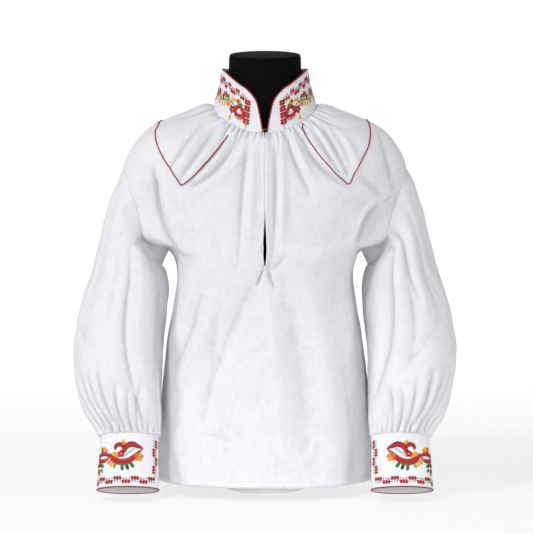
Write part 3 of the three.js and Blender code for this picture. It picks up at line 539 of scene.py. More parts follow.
@dataclass(frozen=True)
class Shirt:
    """The shirt's own surfaces: body, armholes, gussets, sleeves, cuffs and collar, in millimetres."""

    slit_end: float = 279.0
    facing: float = 6.0
    armhole_top: float = 172.0
    armhole_corner: float = 236.0
    armhole_bottom: float = 270.0
    armhole_reach: float = math.radians(15.5)
    gusset_body: float = 326.0
    gusset_sleeve: float = 96.0
    cuff_height: float = 84.0
    cuff_tilt: float = math.radians(21)
    collar_height: float = 60.0
    collar_corner: float = 17.0
    neck: Gathers = Gathers(66, 6.2, 1.2, 20, 11)
    wrist: Gathers = Gathers(30, 6.0, 1.2, 24, 5)
    soft: Crumple = Crumple(3, 70, 0.9)
    fine: Crumple = Crumple(8, 20, 0.22, 16)

    def ring(self, angle: Array, down: Array) -> Array:
        """The body without its folds, at an angle and a distance down the cloth from the neck."""
        return ring_point(BODY, down, angle)

    def body(self, angle: Array, down: Array) -> Array:
        """The body's outer face.

        Args:
            angle: the angle round the body.
            down: the distance down the cloth from the neck seam.

        Returns:
            The points, with gathers, folds and crumple.
        """
        angle, down = np.broadcast_arrays(np.asarray(angle, float), np.asarray(down, float))
        base = self.ring(angle, down)
        ahead = np.sin(angle) >= -1e-9
        off_side = np.minimum(1.0, np.abs(base[..., 1]) / 40)
        height = self.neck.height(angle, down)
        folds = np.zeros(angle.shape)
        for chosen, on_it in ((FRONT_FOLDS, ahead), (BACK_FOLDS, ~ahead)):
            if on_it.any():
                folds[on_it] = sum(f.height(base[on_it][:, 0], base[on_it][:, 2]) for f in chosen)
        worn = self.soft.height(base) + self.fine.height(base)
        height = height + folds * off_side + worn * clamp01(down / 40) * np.minimum(1, off_side * 1.6)
        normal = normal_of(self.ring, angle, np.clip(down, 2, HEM - 2))
        return base + normal * height[..., None]

    def slit_half(self, down: Array) -> Array:
        """Half the slit's opening: open under the collar, closed below, and open again at its foot."""
        share = clamp01((down - 0.50 * self.slit_end) / (0.50 * self.slit_end))
        return 0.04 + 1.5 * np.exp(-((down / 9) ** 2)) + 2.5 * np.sin(np.pi * share**2.4) ** 0.8

    def armhole_angle(self, down: Array) -> Array:
        """How far the armhole or its gusset reaches from the side seam, as an angle.

        Args:
            down: distances down the cloth from the neck seam.

        Returns:
            The angles, which are nothing above and below them.
        """
        above = (self.armhole_corner - down) / (self.armhole_corner - self.armhole_top)
        round_it = np.sqrt(clamp01(1 - above**2))
        straight = (self.gusset_body - down) / (self.gusset_body - self.armhole_corner)
        reach = self.armhole_reach * np.where(down > self.armhole_corner, straight, round_it)
        return np.where((down <= self.armhole_top) | (down >= self.gusset_body), 0.0, reach)

    def body_at(self, side: Side, turn: Array, down: Array) -> Array:
        """A point of the body near a sleeve, turned from the side seam towards the front."""
        return self.body(turn if side is Side.RIGHT else np.pi - turn, down)

    def fold_down(self, across: Array) -> Array:
        """How far down the gusset's fold under the arm lies, from its back corner (-1) to its front one."""
        return mix(self.armhole_bottom, self.armhole_corner, across**2)

    def armhole(self, side: Side, angle: Array) -> Array:
        """The armhole's edge on the body at an angle round the sleeve.

        Args:
            side: which hand it is on.
            angle: angles round the sleeve.

        Returns:
            The edge's points.
        """
        cosine, sine = np.cos(angle), np.sin(angle)
        across = np.arcsin(np.clip(sine, -1, 1)) / (np.pi / 2)
        upper = mix(self.armhole_corner, self.armhole_top, np.maximum(cosine, 0))
        down = np.where(cosine >= 0, upper, self.fold_down(across))
        turn = self.armhole_reach * np.where(cosine >= 0, sine, across)
        return self.body_at(side, turn, down)

    def sleeve_ring(self, side: Side, angle: Array, along: Array) -> Array:
        """The sleeve without its folds, at an angle round it and a distance along it.

        Args:
            side: which hand it is on.
            angle: angles round it.
            along: distances along it from the armhole.

        Returns:
            The points, which run into the armhole at its top end.
        """
        angle, along = np.broadcast_arrays(np.asarray(angle, float), np.asarray(along, float))
        size = {name: SLEEVE.value(name, along) for name in SLEEVE.columns.split()[1:]}
        cosine, sine = np.cos(angle), np.sin(angle)
        point = stacked(
            side.value * (size["x"] + size["half"] * cosine),
            size["y"] - size["deep"] * sine,
            size["z"] + size["outer_up"] * cosine + size["front_up"] * sine,
        )
        share = clamp01(along / 62)
        keep = (1 - share) ** 2 * (1 + 2 * share)
        near = keep > 0
        if near.any():
            edge = self.armhole(side, angle[near])
            point[near] = mix(point[near], edge, keep[near][:, None])
        return point

    def sleeve(self, side: Side, angle: Array, along: Array) -> Array:
        """The sleeve's outer face.

        Args:
            side: which sleeve.
            angle: the angle round it: 0 is its outer side, 90 degrees its front and 180 by the body.
            along: the distance along it from the armhole.

        Returns:
            The points, with gathers, folds and crumple.
        """
        angle, along = np.broadcast_arrays(np.asarray(angle, float), np.asarray(along, float))
        base = self.sleeve_ring(side, angle, along)
        turn = (np.degrees(angle) + 360) % 360 * 1.1
        own = LEFT_SLEEVE_FOLDS if side is Side.LEFT else RIGHT_SLEEVE_FOLDS
        folds = sum(f.height(turn, along) for f in SLEEVE_FOLDS + own)
        worn = self.soft.height(base) * 1.1 + self.fine.height(base)
        height = self.wrist.height(angle, SLEEVE_END - along)
        height = height + (folds + worn * clamp01((SLEEVE_END - along) / 25)) * clamp01(along / 30)
        normal = normal_of(partial(self.sleeve_ring, side), angle, np.clip(along, 2, SLEEVE_END - 2))
        return base + normal * (height * side.value)[..., None]

    def cuff(self, side: Side, angle: Array, down: Array, outside: Array = 0.0) -> Array:
        """The cuff's face at an angle round it, as the sleeve's, and a distance down it.

        Args:
            side: which hand it is on.
            angle: angles round it.
            down: distances down from its seam.
            outside: how far outside the plain face the points lie.

        Returns:
            The points.
        """
        _, x, y, z, half, deep, *_ = SLEEVE.rows[-1]
        share = np.asarray(down, float) / self.cuff_height
        tilt = self.cuff_tilt
        forward = (deep / math.cos(tilt) - share + outside) * np.sin(angle)
        return stacked(
            side.value * (x + share + (half + 2 * share + outside) * np.cos(angle)),
            y - down * math.sin(tilt) - forward * math.cos(tilt),
            z - down * math.cos(tilt) + forward * math.sin(tilt),
        )

    def collar_gap(self, up: Array) -> Array:
        """Half the collar's opening as an angle, at a height from its seam (0) to its top edge (1)."""
        return np.arcsin(COLLAR_OPENING.value("half", up) / COLLAR.value("front", up))

    def collar(self, share: Array, up: Array) -> Array:
        """The collar's outer face: share runs from its left front end (0) by the back to its right one."""
        gap = self.collar_gap(up)
        return ring_point(COLLAR, up, mix(np.pi / 2 + gap, 2.5 * np.pi - gap, share))

    def collar_top(self, share: Array) -> Array:
        """How far up the collar's edge is, where its top rounds down into its front ends."""
        inside = clamp01((np.minimum(share, 1 - share) * 2 * np.pi * 62.5) / self.collar_corner)
        return 1 - (self.collar_corner / self.collar_height) * (1 - np.sqrt(1 - (1 - inside) ** 2))


SHIRT = Shirt()


# ---- Meshes ----------------------------------------------------------------------------------------


def nothing_selected() -> None:
    """Leaves object mode with nothing selected and nothing active."""
    for thing in bpy.context.view_layer.objects:
        thing.select_set(False)
    bpy.context.view_layer.objects.active = None


def made_active(thing: Piece) -> Piece:
    """Selects one object alone and makes it the active one.

    Args:
        thing: the object.

    Returns:
        The same object.
    """
    nothing_selected()
    thing.select_set(True)
    bpy.context.view_layer.objects.active = thing
    return thing


def edges_marked(thing: Piece, wanted: Callable[[list], bool]) -> None:
    """Opens the active object for editing, with only the wanted edges selected.

    Args:
        thing: the object.
        wanted: tells from the places of an edge's two ends whether it is one.
    """
    bpy.ops.object.mode_set(mode="EDIT")
    bpy.ops.mesh.select_all(action="DESELECT")
    bpy.ops.object.mode_set(mode="OBJECT")
    for edge in thing.data.edges:
        edge.select = wanted([thing.data.vertices[v].co for v in edge.vertices])
    bpy.ops.object.mode_set(mode="EDIT")
    bpy.ops.mesh.select_mode(type="EDGE")


def mesh_object(
    name: str,
    points: Array,
    faces: Array,
    materials: list[Finish],
    slots: Array | None = None,
    cloth: Array | None = None,
    crease_shade: Array | None = None,
) -> Piece:
    """An object from points and faces.

    Args:
        name: the piece's name.
        points: its points in millimetres, counted from the cloth's foot line.
        faces: its faces, all with as many corners.
        materials: what it is made of.
        slots: which of them each face takes, if there are several.
        cloth: each point's place on the flat cloth, in millimetres, for the weave.
        crease_shade: how deep each point lies between folds, for the shade painted into the cloth's
            creases.

    Returns:
        The new object, smooth shaded.
    """
    mesh = bpy.data.meshes.new(name)
    places = (points.reshape(-1, 3) + (0, 0, RISE)) * MM
    corners = faces.shape[1]
    mesh.vertices.add(len(places))
    mesh.vertices.foreach_set("co", places.ravel())
    mesh.loops.add(faces.size)
    mesh.loops.foreach_set("vertex_index", faces.ravel().astype(np.int32))
    mesh.polygons.add(len(faces))
    mesh.polygons.foreach_set("loop_start", np.arange(0, faces.size, corners, dtype=np.int32))
    mesh.polygons.foreach_set("use_smooth", np.ones(len(faces), bool))
    if cloth is not None:
        layer = mesh.uv_layers.new(name="cloth")
        layer.data.foreach_set("uv", (cloth.reshape(-1, 2)[faces.ravel()] * MM).ravel())
    # Painted shade: how far each point's colour is darkened in the creases.
    if crease_shade is not None:
        depth = mesh.attributes.new("crease_shade", "FLOAT", "POINT")
        depth.data.foreach_set("value", crease_shade.ravel().astype(np.float32))
    for material in materials:
        mesh.materials.append(material)
    if slots is not None:
        mesh.polygons.foreach_set("material_index", slots.astype(np.int32))
    mesh.update(calc_edges=True)
    mesh.validate()
    thing = bpy.data.objects.new(name, mesh)
    bpy.context.scene.collection.objects.link(thing)
    return thing


def spread_out(grid: Array, axis: int, spread: float) -> Array:
    """A grid's values softened along one axis.

    Args:
        grid: rows and columns of points.
        axis: 0 to soften along the columns, 1 along the rows.
        spread: how far, in steps of the grid.

    Returns:
        The softened grid.
    """
    reach = int(2.5 * spread) + 1
    weights = np.exp(-0.5 * (np.arange(-reach, reach + 1) / max(spread, 0.3)) ** 2)
    padded = np.pad(grid, [(reach, reach) if k == axis else (0, 0) for k in range(3)], mode="edge")
    moved = [np.take(padded, np.arange(grid.shape[axis]) + k, axis=axis) for k in range(len(weights))]
    return sum(weight * part for weight, part in zip(weights / weights.sum(), moved))


@dataclass(frozen=True)
class Patch:
    """Rows of points from the top down, each row turning as the angles grow, and their weave."""

    points: Array
    cloth: Array

    def crease_shade(self) -> Array:
        """How much shade is painted at each point: how deep it lies between folds, from 0 on the flat to 1
        in the deepest creases.

        Returns:
            A number for each point.
        """
        gaps = [np.linalg.norm(np.diff(self.points, axis=k), axis=-1).mean() for k in (0, 1)]
        steps = [max(float(gap), 0.2) for gap in gaps]
        normal = unit(np.cross(np.gradient(self.points, axis=1), np.gradient(self.points, axis=0)))
        total = np.zeros(self.points.shape[:2])
        for size, full in ((2.6, 1.2), (6.0, 3.4)):
            soft = spread_out(spread_out(self.points, 0, size / steps[0]), 1, size / steps[1])
            total += clamp01(np.sum((soft - self.points) * normal, axis=-1) / full)
        return clamp01(total)

    def faces(self, first: int) -> Array:
        """The patch's quads, which look outwards, with its points counted from the first.

        Args:
            first: the number of the patch's first point.

        Returns:
            The faces' corners.
        """
        rows, columns = self.points.shape[:2]
        at = first + np.arange(rows * columns).reshape(rows, columns)
        quads = [at[:-1, :-1], at[:-1, 1:], at[1:, 1:], at[1:, :-1]]
        return np.stack(quads, axis=-1).reshape(-1, 4)


def cloth_object(name: str, patches: list[Patch], wall: float, material: Finish) -> Piece:
    """A sheet of cloth from its patches, sewn where they meet and given its thickness inwards.

    Args:
        name: the piece's name.
        patches: its parts.
        wall: its thickness in millimetres.
        material: its finish.

    Returns:
        The finished sheet.
    """
    starts = np.cumsum([0] + [p.points.shape[0] * p.points.shape[1] for p in patches])
    points = np.concatenate([p.points.reshape(-1, 3) for p in patches])
    cloth = np.concatenate([p.cloth.reshape(-1, 2) for p in patches])
    faces = np.concatenate([p.faces(start) for p, start in zip(patches, starts)])
    # Painted shade for the creases, from each patch's folds.
    crease_shade = np.concatenate([p.crease_shade().ravel() for p in patches])
    sheet = made_active(mesh_object(name, points, faces, [material], cloth=cloth, crease_shade=crease_shade))
    bpy.ops.object.mode_set(mode="EDIT")
    bpy.ops.mesh.select_all(action="SELECT")
    bpy.ops.mesh.remove_doubles(threshold=2e-5)
    bpy.ops.mesh.select_all(action="SELECT")
    bpy.ops.mesh.dissolve_degenerate(threshold=1e-6)
    bpy.ops.object.mode_set(mode="OBJECT")
    solid = sheet.modifiers.new("wall", "SOLIDIFY")
    solid.thickness = wall * MM
    solid.offset = -1
    bpy.ops.object.modifier_apply(modifier=solid.name)
    return sheet


def declared(thing: Piece, slot: str, *nodes: str) -> Piece:
    """Says that a piece rides on the one body and stands for some nodes, whose own meshes it hides.

    Args:
        thing: the piece.
        slot: the record's material slot, or nothing; it is not used.
        nodes: the nodes of the model that it stands for.

    Returns:
        The piece.
    """
    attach(thing, "root")
    if nodes:
        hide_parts(*nodes)
    LOG.info("%s: %d faces", thing.name, len(thing.data.polygons))
    return thing


# ---- Finishes --------------------------------------------------------------------------------------


class NodeBoard:
    """A material's nodes, placed and joined by short calls."""

    def __init__(self, name: str) -> None:
        """Starts a material with a plain shader on it.

        Args:
            name: the material's name.
        """
        self.material = bpy.data.materials.new(name)
        self.material.use_nodes = True
        self.nodes = self.material.node_tree.nodes
        self.links = self.material.node_tree.links
        self.shader = self.nodes["Principled BSDF"]

    def add(self, kind: str, inputs: dict | None = None, **settings: object) -> bpy.types.Node:
        """A new node.

        Args:
            kind: its type, without the common start of the name.
            inputs: values or output sockets for its inputs, by name or number.
            settings: its own properties.

        Returns:
            The node.
        """
        node = self.nodes.new("ShaderNode" + kind)
        for key, value in settings.items():
            setattr(node, key, value)
        for key, value in (inputs or {}).items():
            self.put(node.inputs[key], value)
        return node

    def put(self, socket: bpy.types.NodeSocket, value: object) -> None:
        """Joins a socket to an output, or sets it to a plain value.

        Args:
            socket: the input.
            value: an output or a plain value.
        """
        if isinstance(value, bpy.types.NodeSocket):
            self.links.new(value, socket)
        else:
            socket.default_value = value

    def maths(self, operation: str, one: object, other: object = 0.0) -> bpy.types.NodeSocket:
        """The outcome of one sum on two numbers or outputs."""
        return self.add("Math", {0: one, 1: other}, operation=operation).outputs[0]

    def noise(self, vector: object, scale: tuple[float, ...], detail: float = 2.0) -> bpy.types.NodeSocket:
        """A soft noise with its own size in each direction, in cycles for each metre."""
        sized = self.add("Mapping", {"Vector": vector, "Scale": scale}).outputs[0]
        return self.add("TexNoise", {"Vector": sized, "Scale": 1.0, "Detail": detail}).outputs["Fac"]

    def ramp(self, value: object, low: tuple[float, ...], high: tuple[float, ...], span: Pair) -> object:
        """A colour between two, as a number goes over a span.

        Args:
            value: the number.
            low: the colour at the start of the span.
            high: the colour at its end.
            span: the span's two ends.

        Returns:
            The colour's output.
        """
        node = self.add("ValToRGB", {"Fac": value})
        first, last = node.color_ramp.elements
        first.position, last.position = span
        first.color, last.color = (*low, 1), (*high, 1)
        return node.outputs["Color"]

    def bump(self, height: object, distance: float, strength: float, under: object = None) -> object:
        """A bump of a depth in metres, on another one if given.

        Args:
            height: the relief's output.
            distance: how deep it is.
            strength: how much of it counts.
            under: the bump that it lies on.

        Returns:
            The normal's output.
        """
        inputs = {"Height": height, "Distance": distance, "Strength": strength}
        if under is not None:
            inputs["Normal"] = under
        return self.add("Bump", inputs).outputs[0]

    def shaded(self, inputs: dict) -> Finish:
        """Sets or joins the shader's inputs.

        Args:
            inputs: values or outputs, by the inputs' names.

        Returns:
            The material.
        """
        for name, value in inputs.items():
            self.put(self.shader.inputs[name], value)
        return self.material


@dataclass(frozen=True)
class Linen:
    """Plain-woven linen: its colour, thread, slubs and crumple, with shade painted darker into its creases.
    """

    name: str
    colour: tuple[float, float, float] = (0.715, 0.722, 0.745)
    shade: tuple[float, float, float] = (0.645, 0.652, 0.68)
    # Painted shade: the grey that the cloth's colour is darkened towards in its creases.
    crease_shade: tuple[float, float, float] = (0.34, 0.34, 0.37)
    thread: float = 0.62
    weave: float = 0.10
    slub: float = 0.14
    crumple: float = 0.5

    def material(self) -> Finish:
        """The cloth's material, woven along its own flat coordinates, with painted shade in its creases.

        Returns:
            The material.
        """
        board = NodeBoard(self.name)
        cloth = board.add("UVMap", uv_map="cloth").outputs[0]
        place = board.add("TexCoord").outputs["Object"]
        across, along = board.add("SeparateXYZ", {0: cloth}).outputs[:2]
        turns = 2 * math.pi / (self.thread * MM)
        warp = board.maths("COSINE", board.maths("MULTIPLY", across, turns))
        weft = board.maths("COSINE", board.maths("MULTIPLY", along, turns))
        threads = board.maths("MULTIPLY", warp, weft)
        laid = board.noise(cloth, (38, 430, 1), 3)
        stood = board.noise(cloth, (430, 38, 1), 3)
        slubs = board.maths("ADD", laid, stood)
        worn = board.noise(place, (70, 70, 60), 4)
        tone = board.maths("ADD", board.maths("MULTIPLY", slubs, 0.35), board.maths("MULTIPLY", worn, 0.3))
        plain = board.ramp(tone, self.shade, self.colour, (0.36, 0.62))
        # Painted shade: the colour darkens in the creases, as far as each point lies between folds.
        deep = board.maths("MULTIPLY", board.add("Attribute", attribute_name="crease_shade").outputs["Fac"], 0.55)
        with_painted_shade = board.add("Mix", {0: deep, 6: plain, 7: (*self.crease_shade, 1)}, data_type="RGBA").outputs[2]
        folded = board.bump(worn, 0.0016, self.crumple)
        uneven = board.bump(slubs, 0.00028, self.slub * 4, folded)
        woven = board.bump(threads, 0.00009, self.weave * 4, uneven)
        inputs = {
            "Base Color": with_painted_shade,
            "Normal": woven,
            "Roughness": 0.82,
            "Specular IOR Level": 0.25,
            "Sheen Weight": 0.12,
            "Sheen Roughness": 0.5,
        }
        return board.shaded(inputs)


@dataclass(frozen=True)
class FormCover:
    """Black cotton jersey stretched over the form, with a short nap that catches a little light."""

    name: str = "form_cover"
    dark: tuple[float, float, float] = (0.0012, 0.0012, 0.0015)
    light: tuple[float, float, float] = (0.004, 0.004, 0.0045)

    def material(self) -> Finish:
        """The cover's material.

        Returns:
            The material.
        """
        board = NodeBoard(self.name)
        place = board.add("TexCoord").outputs["Object"]
        nap = board.noise(place, (1500, 1500, 1500), 2)
        knit = board.noise(place, (1200, 1200, 260), 2)
        wide = board.noise(place, (14, 14, 10), 2)
        soft = board.bump(wide, 0.002, 0.2)
        inputs = {
            "Base Color": board.ramp(nap, self.dark, self.light, (0.35, 0.7)),
            "Normal": board.bump(knit, 0.0003, 0.5, soft),
            "Roughness": 0.9,
            "Sheen Weight": 0.012,
            "Sheen Roughness": 0.4,
            "Specular IOR Level": 0.06,
        }
        return board.shaded(inputs)


@dataclass(frozen=True)
class Painted:
    """A pale painted wood with a faint brushed grain."""

    name: str
    colour: tuple[float, float, float]

    def material(self) -> Finish:
        """The paint's material.

        Returns:
            The material.
        """
        board = NodeBoard(self.name)
        place = board.add("TexCoord").outputs["Object"]
        grain = board.noise(place, (30, 500, 500), 3)
        low = tuple(c * 0.95 for c in self.colour)
        inputs = {
            "Base Color": board.ramp(grain, low, self.colour, (0.35, 0.65)),
            "Normal": board.bump(grain, 0.0002, 0.25),
            "Roughness": 0.42,
        }
        return board.shaded(inputs)


@dataclass(frozen=True)
class Brass:
    """Drawn brass wire, a little tarnished."""

    name: str = "hook_brass"

    def material(self) -> Finish:
        """The wire's material.

        Returns:
            The material.
        """
        board = NodeBoard(self.name)
        place = board.add("TexCoord").outputs["Object"]
        tarnish = board.noise(place, (600, 600, 600), 3)
        colour = board.ramp(tarnish, (0.30, 0.19, 0.07), (0.62, 0.44, 0.18), (0.3, 0.7))
        inputs = {
            "Base Color": colour,
            "Roughness": board.maths("ADD", board.maths("MULTIPLY", tarnish, 0.3), 0.2),
            "Metallic": 1.0,
        }
        return board.shaded(inputs)


@dataclass(frozen=True)
class Backdrop:
    """Thin paper that is mostly lit from behind, so that it stays even all the way up the wall.

    In front of the shirt it turns into a dark floor, which leaves the light on the folds to the lamps.
    """

    name: str = "studio_paper"
    grey: float = 0.20
    glow_near: float = 0.76
    glow_far: float = 0.97
    far: float = 2.5
    dark_from: float = -0.41
    dark_by: float = -0.60

    def material(self) -> Finish:
        """The paper's material.

        Returns:
            The material.
        """
        board = NodeBoard(self.name)
        place = board.add("TexCoord").outputs["Object"]
        deep = board.add("SeparateXYZ", {0: place}).outputs[1]
        shares = {"From Min": self.dark_by, "From Max": self.dark_from}
        white = board.add("MapRange", {"Value": deep, **shares}, interpolation_type="SMOOTHSTEP").outputs[0]
        uneven = board.maths("MULTIPLY", board.noise(place, (2, 2, 2), 1), 0.02)
        paper = (self.grey, self.grey, self.grey * 1.01)
        colour = board.ramp(board.maths("SUBTRACT", white, uneven), (0.09, 0.09, 0.092), paper, (0, 1))
        spans = {"From Min": 0.0, "From Max": self.far, "To Min": self.glow_near, "To Max": self.glow_far}
        glow = board.add("MapRange", {"Value": deep, **spans}, interpolation_type="SMOOTHSTEP").outputs[0]
        inputs = {
            "Base Color": colour,
            "Emission Color": (1.0, 1.0, 1.0, 1),
            "Emission Strength": board.maths("MULTIPLY", white, glow),
            "Roughness": 1.0,
            "Specular IOR Level": 0.0,
        }
        return board.shaded(inputs)


class Silk(Enum):
    """The embroidery's colours."""

    RED = (0.47, 0.006, 0.007)
    DEEP_RED = (0.31, 0.002, 0.008)
    WINE = (0.035, 0.002, 0.004)
    CORAL = (0.74, 0.085, 0.06)
    YELLOW = (0.82, 0.40, 0.03)
    ORANGE = (0.80, 0.25, 0.012)
    LEAF = (0.055, 0.22, 0.045)
    PINE = (0.02, 0.10, 0.03)
    OLIVE = (0.34, 0.34, 0.02)
    BLACK = (0.012, 0.008, 0.011)
    WHITE = (0.80, 0.80, 0.82)

    def material(self) -> Finish:
        """The thread's material, made once and shared.

        Returns:
            The material.
        """
        name = "silk_" + self.name.lower()
        if name in bpy.data.materials:
            return bpy.data.materials[name]
        board = NodeBoard(name)
        place = board.add("TexCoord").outputs["Object"]
        uneven = board.noise(place, (2400, 2400, 2400), 2)
        low = tuple(c * 0.72 for c in self.value)
        high = tuple(min(1.0, c * 1.18) for c in self.value)
        inputs = {
            "Base Color": board.ramp(uneven, low, high, (0.32, 0.68)),
            "Normal": board.bump(uneven, 0.0002, 0.3),
            "Roughness": 0.5,
            "Specular IOR Level": 0.25,
            "Sheen Weight": 0.04,
        }
        return board.shaded(inputs)


# ---- Thread and cord -------------------------------------------------------------------------------


@dataclass
class Stitches:
    """Many short threads that are laid on cloth and joined into one mesh."""

    name: str
    stations: tuple[float, ...] = (0.0, 0.16, 0.5, 0.84, 1.0)
    laid: list[tuple[Array, Array, float, float, Silk]] = field(default_factory=list)

    def add(self, points: Array, normals: Array, width: float, height: float, silk: Silk) -> None:
        """Lays threads.

        Args:
            points: for each thread its five places on the cloth, from end to end.
            normals: the cloth's outward normals there.
            width: the threads' width in millimetres.
            height: how far their backs stand out.
            silk: their colour.
        """
        self.laid.append((points, normals, width, height, silk))

    def finished(self) -> Piece:
        """The joined mesh, with a material slot for each colour that it uses.

        Returns:
            The piece.
        """
        silks = list(dict.fromkeys(silk for *_, silk in self.laid))
        points, faces, slots, first = [], [], [], 0
        ends = np.array([[0, 1, 2], [0, 2, 3], [0, 3, 1], [10, 8, 7], [10, 9, 8], [10, 7, 9]])
        rings = [[a + i, a + 3 + i, a + 3 + j, a + j] for a in (1, 4) for i, j in ((0, 1), (1, 2), (2, 0))]
        spans = np.array([t for a, b, c, d in rings for t in ([a, b, c], [a, c, d])])
        pattern = np.concatenate([ends, spans])
        for where, out, width, height, silk in self.laid:
            count = len(where)
            way = unit(np.gradient(where, axis=1))
            aside = unit(np.cross(way, out)) * (width / 2)
            body = np.empty((count, 11, 3))
            body[:, 0] = where[:, 0] - out[:, 0] * 0.15
            body[:, 10] = where[:, 4] - out[:, 4] * 0.15
            for k, tall in ((1, 0.75), (2, 1.0), (3, 0.75)):
                low = where[:, k] - out[:, k] * 0.15
                body[:, 3 * k - 2] = low - aside[:, k]
                body[:, 3 * k - 1] = where[:, k] + out[:, k] * height * tall
                body[:, 3 * k] = low + aside[:, k]
            points.append(body.reshape(-1, 3))
            faces.append((first + 11 * np.arange(count)[:, None, None] + pattern).reshape(-1, 3))
            slots.append(np.full(count * len(pattern), silks.index(silk)))
            first += 11 * count
        joined = np.concatenate(points), np.concatenate(faces), np.concatenate(slots)
        return mesh_object(self.name, joined[0], joined[1], [s.material() for s in silks], joined[2])

    def row(self, path: Array, out: Array, stitch: float, gap: float, size: Pair, silk: Silk) -> None:
        """Lays a row of running stitches along a path.

        Args:
            path: the row's points.
            out: the cloth's normals there.
            stitch: the length of a stitch.
            gap: what is left between two, or less than nothing where they overlap.
            size: the thread's width and how far it stands out.
            silk: its colour.
        """
        far = travelled(path)
        starts = np.arange(gap, far[-1] - stitch, stitch + gap)
        if not len(starts):
            return
        at = starts[:, None] + stitch * np.array(self.stations)
        self.add(along_line(path, far, at), unit(along_line(out, far, at)), *size, silk)


@dataclass(frozen=True)
class TwistedCord:
    """Two plies wound round each other."""

    radius: float
    lay: float
    sides: int = 6
    steps: int = 10

    def mesh(self, path: Array, out: Array, closed: bool) -> tuple[Array, Array]:
        """The cord along a path.

        Args:
            path: the cord's middle.
            out: a direction across the path at each of its points.
            closed: whether its end joins its start.

        Returns:
            The points and the faces.
        """
        if closed:
            path, out = np.vstack([path, path[:1]]), np.vstack([out, out[:1]])
        far = travelled(path)
        turns = max(1, round(far[-1] / self.lay))
        count = turns * self.steps
        at = np.linspace(0, far[-1], count + 1)
        middle = along_line(path, far, at)
        way, up = unit(np.gradient(middle, axis=0)), along_line(out, far, at)
        one = unit(up - way * np.sum(up * way, axis=1, keepdims=True))
        other = np.cross(way, one)
        if closed:
            middle, one, other = middle[:-1], one[:-1], other[:-1]
        rings = len(middle)
        turn = 2 * np.pi * turns * np.arange(rings) / count
        around = 2 * np.pi * np.arange(self.sides) / self.sides
        points, faces = [], []
        for ply in (0.0, np.pi):
            wound = one * np.cos(turn + ply)[:, None] + other * np.sin(turn + ply)[:, None]
            centre = middle + wound * self.radius * 0.46
            ring = one[:, None] * np.cos(around)[:, None] + other[:, None] * np.sin(around)[:, None]
            first = len(points) * rings * self.sides
            points.append((centre[:, None] + ring * self.radius * 0.56).reshape(-1, 3))
            at_ring = first + np.arange(rings * self.sides).reshape(rings, self.sides)
            if closed:
                at_ring = np.vstack([at_ring, at_ring[:1]])
            beside = np.roll(at_ring, -1, axis=1)
            quads = np.stack([at_ring[:-1], beside[:-1], beside[1:], at_ring[1:]], axis=-1).reshape(-1, 4)
            faces.append(quads)
            if not closed:
                for ends, order in ((at_ring[0], -1), (at_ring[-1], 1)):
                    a, b, c, d, e, f = ends[::order][:6]
                    faces.append(np.array([[a, b, c, d], [a, d, e, f]]))
        return np.concatenate(points), np.concatenate(faces)


# ---- The shirt's pieces ----------------------------------------------------------------------------

BODY_LINEN = Linen("linen")
BAND_LINEN = Linen("linen_band", thread=0.5, crumple=0.22, slub=0.1)


